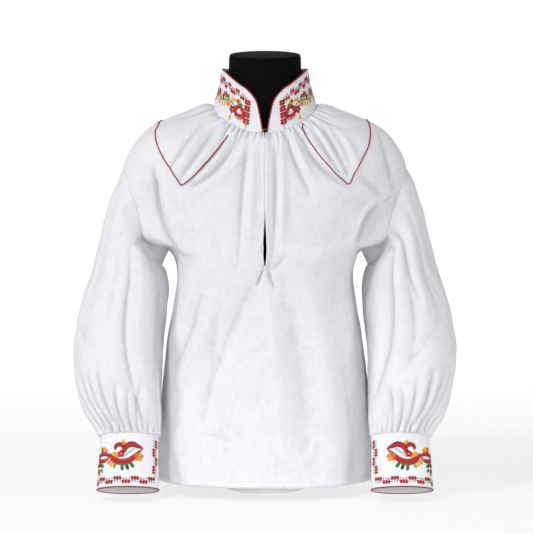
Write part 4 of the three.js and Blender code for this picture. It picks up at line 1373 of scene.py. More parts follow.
@dataclass
class Body:
    """The front with its slit, the back, and what is sewn along their edges."""

    wall: float = 0.6
    columns: int = 124
    rows: int = 164
    hem: float = 10.0
    hem_rise: float = 0.35
    flat_radius: float = 150.0

    def downs(self) -> Array:
        """The rows of points down the cloth, closer together at the neck and the armholes' tops.

        Returns:
            The distances down from the neck seam.
        """
        even = HEM * np.linspace(0, 1, self.rows) ** 1.18
        deep = SHIRT.armhole_corner - SHIRT.armhole_top
        arch = SHIRT.armhole_corner - deep * np.cos(np.linspace(0, np.pi / 2, 28))
        even = even[(even < SHIRT.armhole_top - 1) | (even > SHIRT.armhole_corner + 1)]
        marks = [SHIRT.slit_end, SHIRT.armhole_top, SHIRT.armhole_corner, SHIRT.gusset_body, HEM - self.hem]
        rows = np.unique(np.concatenate([even, arch, marks]))
        return rows[np.concatenate([[True], np.diff(rows) > 1e-6])]

    def cloth(self, angle: Array, down: Array) -> Array:
        """A place's coordinates on the flat cloth."""
        return stacked(self.flat_radius * angle, down)

    def hemmed(self, points: Array, angle: Array, down: Array) -> Array:
        """The points with the hem's turned-up edge, which stands out a little over its stitch line.

        Args:
            points: points of the plain cloth.
            angle: angles round it.
            down: distances down the cloth from the neck seam.

        Returns:
            The points, moved out by the hem.
        """
        out = outward(angle)
        below = down - (HEM - self.hem)
        rise = self.hem_rise * (clamp01(below / 1.5) - np.exp(-((below / 1.3) ** 2)))
        return points + out * rise[..., None]

    def half_front(self, side: Side, downs: Array) -> Patch:
        """The front on one side of the slit, or of its line below the slit's end.

        Args:
            side: which half.
            downs: the rows of points.

        Returns:
            The half as a patch.
        """
        half = np.where(downs < SHIRT.slit_end - 1e-6, SHIRT.slit_half(downs), 0.0)
        start = np.arcsin(half / BODY.value("front", np.minimum(downs, SHIRT.slit_end)))
        end = np.pi / 2 - SHIRT.armhole_angle(downs)
        turn = mix(start[:, None], end[:, None], np.linspace(0, 1, self.columns)[None])
        turn = turn[:, ::-1] if side is Side.RIGHT else turn
        angle = np.pi / 2 - side.value * turn
        down = np.broadcast_to(downs[:, None], angle.shape)
        points = self.hemmed(SHIRT.body(angle, down), angle, down)
        return Patch(points, self.cloth(angle, down))

    def front(self, finish: Finish) -> Piece:
        """The front panel.

        Args:
            finish: its material.

        Returns:
            The piece.
        """
        downs = self.downs()
        patches = [self.half_front(side, downs) for side in Side]
        panel = cloth_object("linen_front", patches, self.wall, finish)
        return declared(panel, "linen", "shirt_front")

    def back(self, finish: Finish) -> Piece:
        """The back panel.

        Args:
            finish: its material.

        Returns:
            The piece.
        """
        downs = self.downs()
        edge = SHIRT.armhole_angle(downs)[:, None]
        angle = mix(np.pi + edge, 2 * np.pi - edge, np.linspace(0, 1, 210)[None])
        down = np.broadcast_to(downs[:, None], angle.shape)
        points = self.hemmed(SHIRT.body(angle, down), angle, down)
        panel = cloth_object("linen_back", [Patch(points, self.cloth(angle, down))], self.wall, finish)
        return declared(panel, "linen", "shirt_back")

    def facing(self, side: Side, finish: Finish) -> Piece:
        """The narrow strip along one edge of the slit, made from the front's own points.

        Args:
            side: which edge.
            finish: its material.

        Returns:
            The piece.
        """
        downs = np.linspace(1.5, SHIRT.slit_end - 2, 90)
        depth = BODY.value("front", downs)
        half = SHIRT.slit_half(downs)
        shares = np.array([0.0, 0.04, 0.12, 0.5, 0.88, 0.96, 1.0])
        turn = np.arcsin(half / depth)[:, None] + (SHIRT.facing / depth)[:, None] * shares[None]
        turn = turn[:, ::-1] if side is Side.RIGHT else turn
        shares = shares[::-1] if side is Side.RIGHT else shares
        angle = np.pi / 2 - side.value * turn
        down = np.broadcast_to(downs[:, None], angle.shape)
        out = outward(angle, 0.25)
        lift = 0.95 * np.minimum(1, 6 * np.minimum(shares, 1 - shares) + 0.45)
        points = SHIRT.body(angle, down) + unit(out) * lift[None, :, None]
        patch = Patch(points, self.cloth(angle, down))
        strip = cloth_object(f"linen_slit_edge_{side.word}", [patch], 0.5, finish)
        return declared(strip, "linen", f"slit_facing_{side.word}")

    def sewing(self) -> Piece:
        """The white stitches along the slit, its foot and the hem.

        Returns:
            The piece.
        """
        sewn = Stitches("white_sewing")
        downs = np.linspace(4, SHIRT.slit_end - 3, 160)
        for side in Side:
            for in_from in (1.1, SHIRT.facing - 0.9):
                turn = (SHIRT.slit_half(downs) + in_from) / BODY.value("front", downs)
                angle = np.pi / 2 - side.value * turn
                out = unit(outward(angle, 0.25))
                sewn.row(SHIRT.body(angle, downs) + out * 1.0, out, 2.0, 0.8, (0.45, 0.25), Silk.WHITE)
        angle = np.linspace(0, 2 * np.pi, 900)
        down = np.full(angle.shape, HEM - self.hem)
        out = outward(angle)
        hem = self.hemmed(SHIRT.body(angle, down), angle, down)
        sewn.row(hem, out, 2.2, 0.9, (0.45, 0.3), Silk.WHITE)
        for k in range(7):
            across = np.linspace(-4.4, 4.4, 12)
            angle = np.pi / 2 - across / BODY.value("front", SHIRT.slit_end)
            out = outward(angle, 0.2)
            bar = SHIRT.body(angle, np.full(angle.shape, SHIRT.slit_end - 1.6 + 0.5 * k))
            sewn.row(bar + out * 0.5, unit(out), 8.2, 0.2, (0.6, 0.45), Silk.WHITE)
        return declared(sewn.finished(), "")


@dataclass
class Sleeves:
    """The two sleeves and their gussets."""

    wall: float = 0.6
    columns: int = 256
    rows: int = 124
    flat_radius: float = 68.0

    def edge(self, along: Array) -> Array:
        """The sleeve's edge by the gusset, from the armhole's corner to the sleeve's own seam."""
        return np.pi * (0.5 + 0.5 * clamp01(along / SHIRT.gusset_sleeve))

    def sleeve(self, side: Side, finish: Finish) -> Piece:
        """One sleeve.

        Args:
            side: which hand it is on.
            finish: its material.

        Returns:
            The piece.
        """
        even = np.linspace(0, 1, self.rows)
        along = np.unique(np.concatenate([SLEEVE_END * (1 - (1 - even) ** 1.12), [SHIRT.gusset_sleeve]]))
        edge = self.edge(along)[:, None]
        angle = mix(-edge, edge, np.linspace(0, 1, self.columns)[None])
        angle = angle if side is Side.RIGHT else angle[:, ::-1]
        way = np.broadcast_to(along[:, None], angle.shape)
        patch = Patch(SHIRT.sleeve(side, angle, way), stacked(self.flat_radius * angle, way))
        sleeve = cloth_object(f"linen_sleeve_{side.word}", [patch], self.wall, finish)
        return declared(sleeve, "linen", f"sleeve_{side.word}")

    def gusset(self, side: Side, finish: Finish) -> Piece:
        """One gusset, folded under the arm from the sleeve's seam to the body's side seam.

        Args:
            side: which hand it is on.
            finish: its material.

        Returns:
            The piece.
        """
        across = np.linspace(-1, 1, 32)
        across = across if side is Side.RIGHT else across[::-1]
        along = np.linspace(SHIRT.gusset_sleeve, 0, 26)[:, None]
        angle = np.pi - (np.pi / 2) * (1 - along / SHIRT.gusset_sleeve) * across
        upper = SHIRT.sleeve(side, angle, np.broadcast_to(along, angle.shape))
        share = np.linspace(0, 1, 28)[1:, None]
        turn = SHIRT.armhole_reach * across * (1 - share)
        lower = SHIRT.body_at(side, turn, mix(SHIRT.fold_down(across), SHIRT.gusset_body, share))
        points = np.vstack([upper, lower])
        down = np.linspace(0, 190, len(points))[:, None]
        patch = Patch(points, stacked(60 * across * np.ones_like(down), down * np.ones_like(across)))
        gusset = cloth_object(f"linen_gusset_{side.word}", [patch], self.wall, finish)
        return declared(gusset, "linen", f"gusset_{side.word}")


@dataclass
class Band:
    """A band of cloth that needlework lies on, measured along it and down or up it in millimetres."""

    face: Surface
    angles: Array
    middle: float

    def __post_init__(self) -> None:
        """Measures the way round the band at its middle."""
        line = self.face(self.angles, np.full(self.angles.shape, self.middle))
        self.far = travelled(line)

    def angle(self, across: Array) -> Array:
        """The angle at a distance along the band from where its angles start."""
        return np.interp(across, self.far, self.angles)

    def place(self, spots: Array) -> tuple[Array, Array]:
        """Points and outward normals on the band.

        Args:
            spots: distances along the band and up or down it.

        Returns:
            The points and the normals.
        """
        angle, down = self.angle(spots[..., 0]), spots[..., 1]
        points = self.face(angle, down)
        aside = self.face(angle + 0.01, down) - self.face(angle - 0.01, down)
        below = self.face(angle, down + 0.5) - self.face(angle, down - 0.5)
        normal = unit(np.cross(aside, below))
        outwards = points - np.array([*self.core(), 0.0])
        return points, normal * np.sign(np.sum(normal * outwards * (1, 1, 0), axis=-1, keepdims=True))

    def core(self) -> Pair:
        """Where the middle of the band's tube is, seen from above."""
        line = self.face(np.linspace(0, 2 * np.pi, 36), np.full(36, self.middle))
        return float(line[:, 0].mean()), float(line[:, 1].mean())


@dataclass
class Needle:
    """Draws satin-stitched forms on a band."""

    band: Band
    stitches: Stitches
    pitch: float = 0.5
    thick: float = 0.42
    zero: Pair = (0.0, 0.0)

    def moved(self, across: float, down: float = 0.0) -> "Needle":
        """A needle whose places count from another spot of the band."""
        zero = (self.zero[0] + across, self.zero[1] + down)
        return Needle(self.band, self.stitches, self.pitch, self.thick, zero)

    def threads(
        self, start: Array, end: Array, silk: Silk, height: float = 0.0, width: float = 0.0
    ) -> None:
        """Lays one thread from each start to each end, in the needle's own millimetres.

        Args:
            start: where the threads begin.
            end: where they end.
            silk: their colour.
            height: how far they stand out, if not as the rest.
            width: how wide they are, if not as the rest.
        """
        stations = np.array(self.stitches.stations)[None, :, None]
        spots = start[:, None] + (end - start)[:, None] * stations + np.array(self.zero)
        points, normals = self.band.place(spots)
        self.stitches.add(points, normals, width or self.pitch * 1.6, height or self.thick, silk)

    def lobe(self, base: Pair, tip: Pair, width: float, silk: Silk, height: float = 0.0) -> None:
        """A rounded petal whose stitches run along it.

        Args:
            base: where it is joined on, in the band's millimetres.
            tip: its far end.
            width: its greatest width.
            silk: its colour.
            height: how far it stands out, if not as the rest.
        """
        base, tip = np.array(base, float), np.array(tip, float)
        way = tip - base
        aside = np.array([-way[1], way[0]]) / np.hypot(*way)
        count = max(3, round(width / self.pitch))
        off = (np.arange(count) + 0.5) / count * 2 - 1
        begin = 0.18 * np.abs(off) ** 2
        end = 1 - 0.36 * np.abs(off) ** 2.2
        beside = aside[None] * (off * width / 2)[:, None]
        start = base + way * begin[:, None] + beside * 0.9
        self.threads(start, base + way * end[:, None] + beside, silk, height)

    def ribbon(
        self, path: list[Pair], widths: list[float], silk: Silk, height: float = 0.0, slant: float = 0.35
    ) -> None:
        """A bent bar of slanting satin stitches.

        Args:
            path: the places that its middle goes through, in the band's millimetres.
            widths: its width at each of them.
            silk: its colour.
            height: how far it stands out, if not as the rest.
            slant: how far each stitch leans along the bar, as a share of its width.
        """
        line, way, far = self.curve(path)
        wide = np.interp(np.linspace(0, 1, len(line)), np.linspace(0, 1, len(widths)), widths)
        aside = stacked(-way[:, 1], way[:, 0])
        steps = max(2, round(far[-1] / self.pitch))
        at = np.linspace(0, far[-1], steps)
        half = np.interp(at, far, wide)[:, None] / 2
        reach = (along_line(aside, far, at) + along_line(way, far, at) * slant) * half
        middle = along_line(line, far, at)
        self.threads(middle - reach, middle + reach, silk, height)

    def curve(self, path: list[Pair]) -> tuple[Array, Array, Array]:
        """A smooth line through some places.

        Args:
            path: the places, in the band's millimetres.

        Returns:
            Its points, its direction there and the distance along it.
        """
        spots = np.array(path, float)
        spread = np.linspace(0, len(spots) - 1, 24 * len(spots))
        table = SectionTable("at x y", tuple((k, *spot) for k, spot in enumerate(spots)))
        line = stacked(table.value("x", spread), table.value("y", spread))
        far = travelled(line)
        return line, unit(np.gradient(line, axis=0)), far

    def stem(self, path: list[Pair], silk: Silk, width: float = 0.8, height: float = 0.0) -> None:
        """A line of overlapping stem stitches.

        Args:
            path: the places that it goes through.
            silk: its colour.
            width: how wide the line is.
            height: how far it stands out, if not as the rest.
        """
        stitch = 2.2
        line, way, far = self.curve(path)
        starts = np.arange(0, max(far[-1] - stitch, 0.1), stitch * 0.5)
        aside = stacked(-way[:, 1], way[:, 0]) * width * 0.28
        begin = along_line(line, far, starts) - along_line(aside, far, starts)
        end = along_line(line, far, starts + stitch) + along_line(aside, far, starts + stitch)
        self.threads(begin, end, silk, height or self.thick * 0.9, width * 0.8)

    def bar(self, path: list[Pair], widths: list[float], silk: Silk, *painted_highlights: float) -> None:
        """A satin bar with a dark line along each edge and pale coral lines on it, which are painted
        highlights.

        Args:
            path: the places that its middle goes through.
            widths: its width at each of an even row of places along it.
            silk: its colour.
            painted_highlights: where the coral lines of painted highlight lie on it, as shares of its
                half-width.
        """
        self.ribbon(path, widths, silk)
        line, way, _ = self.curve(path)
        wide = np.interp(np.linspace(0, 1, len(line)), np.linspace(0, 1, len(widths)), widths)
        aside = stacked(-way[:, 1], way[:, 0]) * wide[:, None] / 2
        # The coral lines stand in for the satin's highlight: a painted highlight, laid as thread.
        for share in (-1.0, 1.0, *painted_highlights):
            edge = abs(share) == 1.0
            spots = [tuple(spot) for spot in (line + aside * share)[4:-4:7]]
            self.stem(spots, Silk.WINE if edge else Silk.CORAL, 1.1 if edge else 1.3, self.thick * 1.6)

    def fan(self, middle: Pair, turns: Iterable[float], reach: float, wide: float, *silks: Silk) -> None:
        """Petals of one size that spread from one place.

        Args:
            middle: where they meet.
            turns: the way that each points, in degrees.
            reach: how far they reach.
            wide: how wide each is.
            silks: their colours, which take turns.
        """
        for k, turn in enumerate(turns):
            way = np.array((math.cos(math.radians(turn)), math.sin(math.radians(turn))))
            self.lobe(tuple(middle + way), tuple(middle + way * reach), wide, silks[k % len(silks)])

    def leaves(self, path: list[Pair], aside: float, reach: float, wide: float, *silks: Silk) -> None:
        """Leaves of one size, evenly spaced along one side of a path.

        Args:
            path: the places that the path goes through.
            aside: how far their feet are from it, negative on its other side.
            reach: a leaf's length.
            wide: a leaf's width.
            silks: the colour of each leaf.
        """
        line, way, far = self.curve(path)
        at = (np.arange(len(silks)) + 0.5) / len(silks) * far[-1]
        along = along_line(way, far, at)
        out = stacked(-along[:, 1], along[:, 0]) * math.copysign(1.0, aside)
        feet = along_line(line, far, at) + out * abs(aside)
        for foot, side, on, silk in zip(feet, out, along, silks):
            self.lobe(tuple(foot), tuple(foot + (side + on * 0.15) * reach), wide, silk)

    def rungs(self, path: list[Pair], length: float, gap: float, silk: Silk) -> None:
        """Short thick stitches across a path, a gap apart.

        Args:
            path: the places that the path goes through.
            length: how long each stitch is.
            gap: the distance from one to the next.
            silk: their colour.
        """
        line, way, far = self.curve(path)
        at = np.arange(gap / 2, far[-1], gap)
        middle = stacked(np.interp(at, far, line[:, 0]), np.interp(at, far, line[:, 1]))
        aside = stacked(-np.interp(at, far, way[:, 1]), np.interp(at, far, way[:, 0])) * length / 2
        self.threads(middle - aside, middle + aside, silk, self.thick * 2.0, 1.9)

    def seeds(self, places: list[Pair], silk: Silk, lean: float = 0.0, size: float = 1.5) -> None:
        """Small single stitches, each a short upright thread that leans a little.

        Args:
            places: their middles.
            silk: their colour.
            lean: how far each leans.
            size: how long each is.
        """
        spots = np.array(places, float)
        half = np.array([lean, size / 2])
        self.threads(spots - half, spots + half, silk, self.thick * 1.1, 0.95)


@dataclass
class Cuffs:
    """The two cuffs with their needlework and corded rims."""

    wall: float = 1.7
    proud: float = 0.8
    lift: float = 0.1
    flat_radius: float = 42.0

    def relief(self, angle: Array, down: Array) -> Array:
        """How far the cuff's outer face bulges out."""
        full = np.sin(np.pi * clamp01(down / SHIRT.cuff_height))
        return self.proud + full * (0.5 + 0.25 * np.sin(3 * angle + 1))

    def face(self, side: Side, angle: Array, down: Array) -> Array:
        """Where the needlework lies on one cuff, at an angle and a distance down."""
        return SHIRT.cuff(side, angle, down, self.relief(angle, down) + self.lift)

    def cuff(self, side: Side, finish: Finish) -> Piece:
        """One cuff, a closed ring whose ends meet on the side by the body.

        Args:
            side: which hand it is on.
            finish: its material.

        Returns:
            The piece.
        """
        downs = np.array([-0.8, -0.5, 0, 0.8, 2, 4, *np.linspace(8, 76, 18), 80, 82, 83.2, 83.75, 84.0])
        angle = np.linspace(-np.pi, np.pi, 121)
        angle = angle if side is Side.RIGHT else angle[::-1]
        around, down = np.meshgrid(angle, downs)
        near_edge = clamp01(1 - np.minimum(down + 0.8, SHIRT.cuff_height - down) / 0.9)
        rounded = 0.55 * (1 - np.sqrt(clamp01(1 - near_edge**2)))
        points = SHIRT.cuff(side, around, down, self.relief(around, down) - rounded)
        patch = Patch(points, stacked(self.flat_radius * around, down))
        cuff = cloth_object(f"linen_cuff_{side.word}", [patch], self.wall, finish)
        return declared(cuff, "linen_band", f"cuff_{side.word}")

    def rim(self, side: Side) -> Piece:
        """The red cord whipped along the cuff's lower rim.

        Args:
            side: which hand it is on.

        Returns:
            The piece.
        """
        angle = np.linspace(-np.pi, np.pi, 181)[:-1]
        path = SHIRT.cuff(side, angle, np.full(angle.shape, SHIRT.cuff_height - 0.2), self.proud + 0.2)
        out = stacked(side.value * np.cos(angle), -np.sin(angle), 0 * angle)
        points, faces = TwistedCord(1.25, 9.2).mesh(path, out, True)
        cord = mesh_object(f"cuff_edging_{side.word}", points, faces, [Silk.DEEP_RED.material()])
        return declared(cord, "red_cord", f"cuff_cord_{side.word}")

    def needlework(self, side: Side) -> Piece:
        """The cuff's embroidery: a curved drop with leaves, a flower and a leafy border.

        Args:
            side: which hand it is on.

        Returns:
            The piece.
        """
        around = np.linspace(np.pi / 2 - 2 * np.pi, np.pi / 2 + 2 * np.pi, 361)
        band = Band(partial(self.face, side), around, SHIRT.cuff_height / 2)
        centre = float(np.interp(np.pi / 2, band.angles, band.far))
        drawn = Stitches(f"cuff_needlework_{side.word}")
        needle = Needle(band, drawn, zero=(centre, 0.0))
        self.drop(needle, 0.0)
        self.flower(needle, -41.0)
        self.drop(needle, -116.0)
        self.border(needle)
        return declared(drawn.finished(), "")

    def drop(self, needle: Needle, at: float) -> None:
        """A curved drop of two arched bars round a dotted ladder, with a curl, blooms and leaves.

        Args:
            needle: draws the stitches.
            at: where it stands along the band.
        """
        moved = needle.moved(at)
        tip, belly, size = (23.5, 24.0), (-8.0, 23.0), (23.0, 23.0)
        ladder = [(-8.0, 38.5), (11.0, 24.0)]
        moved.ribbon(ladder, [3.6, 4.4, 3.0], Silk.WHITE, 0.3)
        moved.rungs(ladder, 3.2, 2.9, Silk.BLACK)
        autumn = (Silk.YELLOW, Silk.ORANGE, Silk.YELLOW, Silk.OLIVE)
        moved.leaves(arc(belly, size, 150, 110), 3.4, 9.4, 4.6, *autumn)
        moved.leaves(arc(belly, size, 98, 56), 3.6, 10.4, 5.2, Silk.LEAF, Silk.PINE, Silk.LEAF)
        moved.leaves(arc(belly, size, 158, 116), -2.6, 9.0, 4.6, Silk.YELLOW, Silk.YELLOW, Silk.ORANGE)
        moved.fan((17.0, 37.5), range(-84, 276, 72), 8.4, 6.0, Silk.YELLOW, Silk.ORANGE)
        moved.fan((-10.5, 33.0), range(-90, 270, 72), 6.4, 4.8, Silk.RED)
        moved.fan((-10.5, 33.0), (-126, 162), 4.6, 2.4, Silk.CORAL)
        moved.fan((-3.5, 21.0), (-122,), 12.0, 5.6, Silk.YELLOW)
        moved.bar(arc((-13.5, 23.5), (6.5, 5.5), 360, 150), [4.4, 5.4, 5.8, 5.0, 2.8], Silk.RED, 0.1)
        lower, lower_widths = arc(belly, size, 158, 42), [2.4, 6.4, 8.6, 9.4, 8.8, 6.8, 2.0]
        moved.bar([*lower, tip], lower_widths, Silk.RED, -0.45, 0.45)
        upper, upper_widths = arc((6.5, 31.0), (13.0, 13.0), 176, 310, 5), [4.2, 7.0, 8.0, 7.6, 6.0, 2.0]
        moved.bar([*upper, tip], upper_widths, Silk.RED, 0.1)
        moved.seeds([(-11.0, 32.6), (-9.8, 33.6), (16.4, 37.2), (17.6, 37.8)], Silk.WINE, 0.4, 2.8)

    def flower(self, needle: Needle, at: float) -> None:
        """A lens-shaped flower with a fan of petals, on a hanging stem with leaves.

        Args:
            needle: draws the stitches.
            at: where it stands along the band.
        """
        moved = needle.moved(at)
        moved.fan((-1.0, 31.0), (-104, -72, -38), 12.0, 5.6, Silk.RED, Silk.YELLOW, Silk.ORANGE)
        moved.bar(arc((0.0, 38.0), (11.0, 6.5), 200, 350), [4.4, 5.6, 5.0, 1.8], Silk.RED, 0.1)
        moved.bar(arc((0.0, 36.0), (11.0, 6.5), 160, 10), [4.4, 5.4, 4.8, 1.8], Silk.RED, -0.1)
        moved.stem(arc((-4.0, 53.0), (8.0, 13.0), 240, 110), Silk.WINE, 1.1)
        moved.fan((-4.5, 53.0), (-84, -34, 58), 8.6, 5.0, Silk.PINE, Silk.LEAF, Silk.LEAF)
        moved.fan((-10.0, 65.0), (-50,), 7.6, 5.0, Silk.OLIVE)
        for y in (53.0, 62.5):
            moved.fan((-12.0, y), (-62,), 10.4, 6.4, Silk.RED)
            moved.lobe((-11.0, y - 2.4), (-8.6, y - 6.8), 3.0, Silk.WINE, 0.66)

    def border(self, needle: Needle) -> None:
        """The leafy border: round the lower edge, and up both sides of the cuff's opening.

        Args:
            needle: draws the stitches.
        """
        ends = (-180.0, 46.0)
        foot, head, half = 73.0, 8.0, 13.4
        waves = np.arange(ends[0], ends[1] + 0.1, half / 2)
        needle.stem([(x, foot + 0.8 * math.sin(math.pi * x / half)) for x in waves], Silk.WINE)
        for k, x in enumerate(np.arange(ends[1] - half, ends[0], -half)):
            self.triplet(needle, (x + half / 2, foot), (-1.0, 0.0), -1 if k % 2 else 1)
        for x, way in ((ends[1] - 0.6, 1), (ends[0] + 0.6, -1)):
            needle.stem([(x, y) for y in np.arange(head, foot, 7.0)] + [(x, foot)], Silk.WINE)
            for k, y in enumerate(np.arange(head + half / 2, foot - half / 2, half)):
                self.triplet(needle, (x, y), (0.0, 1.0), way * (1 if k % 2 else -1))

    def triplet(self, needle: Needle, at: Pair, way: Pair, hand: int) -> None:
        """Three red lobes on one side of the border's stem and three black seeds on the other.

        Args:
            needle: draws the stitches.
            at: the middle of the three.
            way: the way that the stem runs.
            hand: 1 for lobes on its left, and -1 for its right.
        """
        along, aside = np.array(way), np.array((-way[1], way[0])) * hand
        for k in (-1, 0, 1):
            base = np.array(at) + along * (4.3 * k)
            needle.lobe(tuple(base - aside * 0.4), tuple(base + aside * 6.6 + along * 1.2), 4.0, Silk.RED)
            seed = base - aside * 2.5
            ends = seed[None] - aside * 1.2, seed[None] + aside * 1.2
            needle.threads(*ends, Silk.BLACK, needle.thick, 1.8)


@dataclass
class Collar:
    """The stand collar with its needlework, corded edge and hook."""

    wall: float = 1.7
    stand: float = 1.25
    flat_length: float = 440.0

    def face(self, angle: Array, up: Array) -> Array:
        """The collar's outer face at an angle and a height in millimetres.

        Args:
            angle: angles round it.
            up: heights above its seam.

        Returns:
            The points.
        """
        share = clamp01(np.asarray(up, float) / SHIRT.collar_height)
        point = ring_point(COLLAR, share, angle)
        out = outward(angle)
        return point + out * 0.1

    def band(self, finish: Finish) -> Piece:
        """The collar itself.

        Args:
            finish: its material.

        Returns:
            The piece.
        """
        ends = np.array([0, 0.0006, 0.002, 0.004, 0.0075, 0.012, 0.018, 0.026, 0.036])
        shares = np.concatenate([ends, np.linspace(0.046, 0.954, 210), 1 - ends[::-1]])
        ups = np.concatenate([[1, 0.994, 0.98], np.linspace(0.95, 0.05, 20), [0.02, 0]])
        share, up = np.meshgrid(shares, ups)
        points = SHIRT.collar(share, up * SHIRT.collar_top(share))
        foot = points[-1] + unit(stacked(points[-1, :, 0], points[-1, :, 1], -55.0)) * 1.5
        points = np.concatenate([points, foot[None]])
        cloth = stacked(self.flat_length * share, SHIRT.collar_height * (1 - up))
        cloth = np.concatenate([cloth, cloth[-1:] + (0, 1.5)])
        collar = cloth_object("linen_collar", [Patch(points, cloth)], self.wall, finish)
        return declared(collar, "linen_band", "collar")

    def edging(self) -> Piece:
        """The red cord along the collar's top and front edges.

        Returns:
            The piece.
        """
        rise = np.linspace(0.03, 0.7, 30)
        over = np.linspace(0.0004, 0.9996, 500)
        low, high = np.zeros(rise.shape), np.ones(rise.shape)
        shares = np.concatenate([low, over, high])
        ups = np.concatenate([rise, SHIRT.collar_top(over), rise[::-1]])
        edge = SHIRT.collar(shares, ups)
        middle = edge + unit(stacked(-edge[:, 0], -edge[:, 1], 0 * ups)) * (self.wall / 2)
        way = unit(np.gradient(middle, axis=0))
        out = unit(stacked(edge[:, 0], edge[:, 1], 0 * ups))
        away = unit(np.cross(way, out))
        away = away * np.sign(away[len(away) // 2, 2])
        path = middle + away * self.stand * 0.9
        points, faces = TwistedCord(1.15, 6.8).mesh(path, out, False)
        cord = mesh_object("collar_edging", points, faces, [Silk.DEEP_RED.material()])
        return declared(cord, "red_cord", "collar_cord")

    def needlework(self) -> Piece:
        """The collar's embroidery, the same on both halves.

        Returns:
            The piece.
        """
        drawn = Stitches("collar_needlework")
        around = np.linspace(np.pi / 2, np.pi * 1.5, 181)
        for mirrored in (False, True):
            angles = np.pi - around if mirrored else around
            needle = Needle(Band(self.face, angles, 30.0), drawn, pitch=0.46)
            self.border(needle)
            for at in (0.0, 76.0):
                self.bell(needle.moved(at))
                self.vine(needle.moved(at))
        return declared(drawn.finished(), "")

    def border(self, needle: Needle) -> None:
        """Red leaves in twos and threes on a thin stem, below the top edge and down by the front end.

        Args:
            needle: draws the stitches.
        """
        top, front, last = 47.0, 29.0, 205.0
        needle.stem([(front, y) for y in (10, 20, 30, 40, top)], Silk.WINE)
        needle.stem([(x, top + 0.5 * math.sin(x / 4)) for x in np.arange(front, last, 6.0)], Silk.WINE, 0.7)
        needle.stem([(front, 0.8), (front - 0.4, 5), (front, 10)], Silk.DEEP_RED, 1.2)
        for y in np.arange(top - 4.0, 12.0, -9.6):
            for hand in (-1, 1):
                for low in (0.0, 4.2):
                    foot, tip = (front - 0.2 * hand, y - low), (front + 6.2 * hand, y - low + 1.0)
                    needle.lobe(foot, tip, 4.1, Silk.RED)
                needle.seeds([(front + 1.6 * hand, y - 6.9)], Silk.BLACK, 0.5, 1.6)
        for k, x in enumerate(np.arange(front + 9.6, last, 10.2)):
            hand = 1 if k % 2 else -1
            for j in (-1.0, 0.0, 1.0) if k % 3 == 2 else (-0.55, 0.55):
                middle = x + 4.2 * j
                needle.lobe((middle, top - 0.2 * hand), (middle + 1.6, top + 6.8 * hand), 4.2, Silk.RED)
                seed = np.array([[x + 2.7 * j, top - 2.2 * hand]])
                needle.threads(seed - (0.5, 1.0), seed + (0.5, 1.0), Silk.BLACK, needle.thick, 1.6)

    def vine(self, needle: Needle) -> None:
        """A stem in even waves, with leaves on both sides, a crescent and three blooms.

        Args:
            needle: draws the stitches.
        """
        stem = [(x, 26.5 + 3.2 * math.sin((x - 52.0) / 7.5)) for x in np.arange(52.0, 100.1, 4.0)]
        needle.stem(stem, Silk.WINE, 1.6)
        over = (Silk.YELLOW, Silk.LEAF, Silk.OLIVE, Silk.PINE, Silk.YELLOW, Silk.LEAF)
        under = (Silk.ORANGE, Silk.OLIVE, Silk.YELLOW, Silk.YELLOW, Silk.OLIVE, Silk.YELLOW)
        needle.leaves(stem[1:], 0.2, 8.0, 4.8, *over)
        needle.leaves(stem[2:], -0.2, 9.0, 5.0, *under)
        needle.ribbon(arc((52.0, 29.0), (7.5, 6.0), 165, 20), [1.8, 4.2, 4.6, 1.8], Silk.YELLOW)
        needle.fan((45.0, 31.5), (165, 120, 75), 8.6, 5.0, Silk.LEAF, Silk.YELLOW, Silk.PINE)
        needle.fan((57.0, 20.5), range(-90, 270, 72), 6.4, 4.6, Silk.RED, Silk.DEEP_RED)
        needle.stem([(57.0, 16.0), (58.0, 11.0)], Silk.WINE)
        needle.fan((57.6, 12.6), (-78,), 8.4, 5.4, Silk.YELLOW)
        needle.fan((77.0, 29.0), (48, 90, 132), 9.6, 4.8, Silk.RED)
        needle.fan((77.0, 29.0), (69, 111), 7.2, 2.0, Silk.CORAL)
        needle.fan((99.0, 27.0), (-40, 5, 50, 95), 8.6, 5.0, Silk.RED)
        needle.seeds([(56.6, 20.2), (57.6, 20.8)], Silk.WINE, 0.4, 2.4)

    def bell(self, needle: Needle) -> None:
        """The large bell flower, open downwards, with an even scalloped rim and a pale dotted heart.

        Args:
            needle: draws the stitches.
        """
        rim = arc((42.4, 19.0), (8.6, 6.0), 205, 335, 5)
        for x, y in rim:
            needle.lobe((x, y + 7.0), (x, y - 1.4), 5.2, Silk.RED)
        needle.bar(arc((52.5, 17.0), (19.0, 16.0), 112, 172, 4), [3.0, 5.0, 5.6, 4.6], Silk.RED, 0.3, -0.4)
        needle.bar(arc((34.5, 17.0), (17.0, 15.5), 66, 8, 4), [3.0, 5.0, 5.6, 4.6], Silk.RED, 0.1)
        needle.ribbon(arc((42.4, 20.4), (8.0, 5.4), 205, 335), [1.2, 2.0, 2.0, 1.2], Silk.CORAL, 0.66)
        for x, y in rim:
            needle.stem(arc((x, y), (2.5, 2.4), 200, 340, 5), Silk.WINE, 1.0, 0.7)
        needle.lobe((42.8, 19.6), (43.8, 27.4), 5.4, Silk.WHITE, 0.5)
        needle.seeds([(42.2, 21.6), (44.2, 22.2), (43.4, 24.6)], Silk.BLACK, 0.4, 1.7)


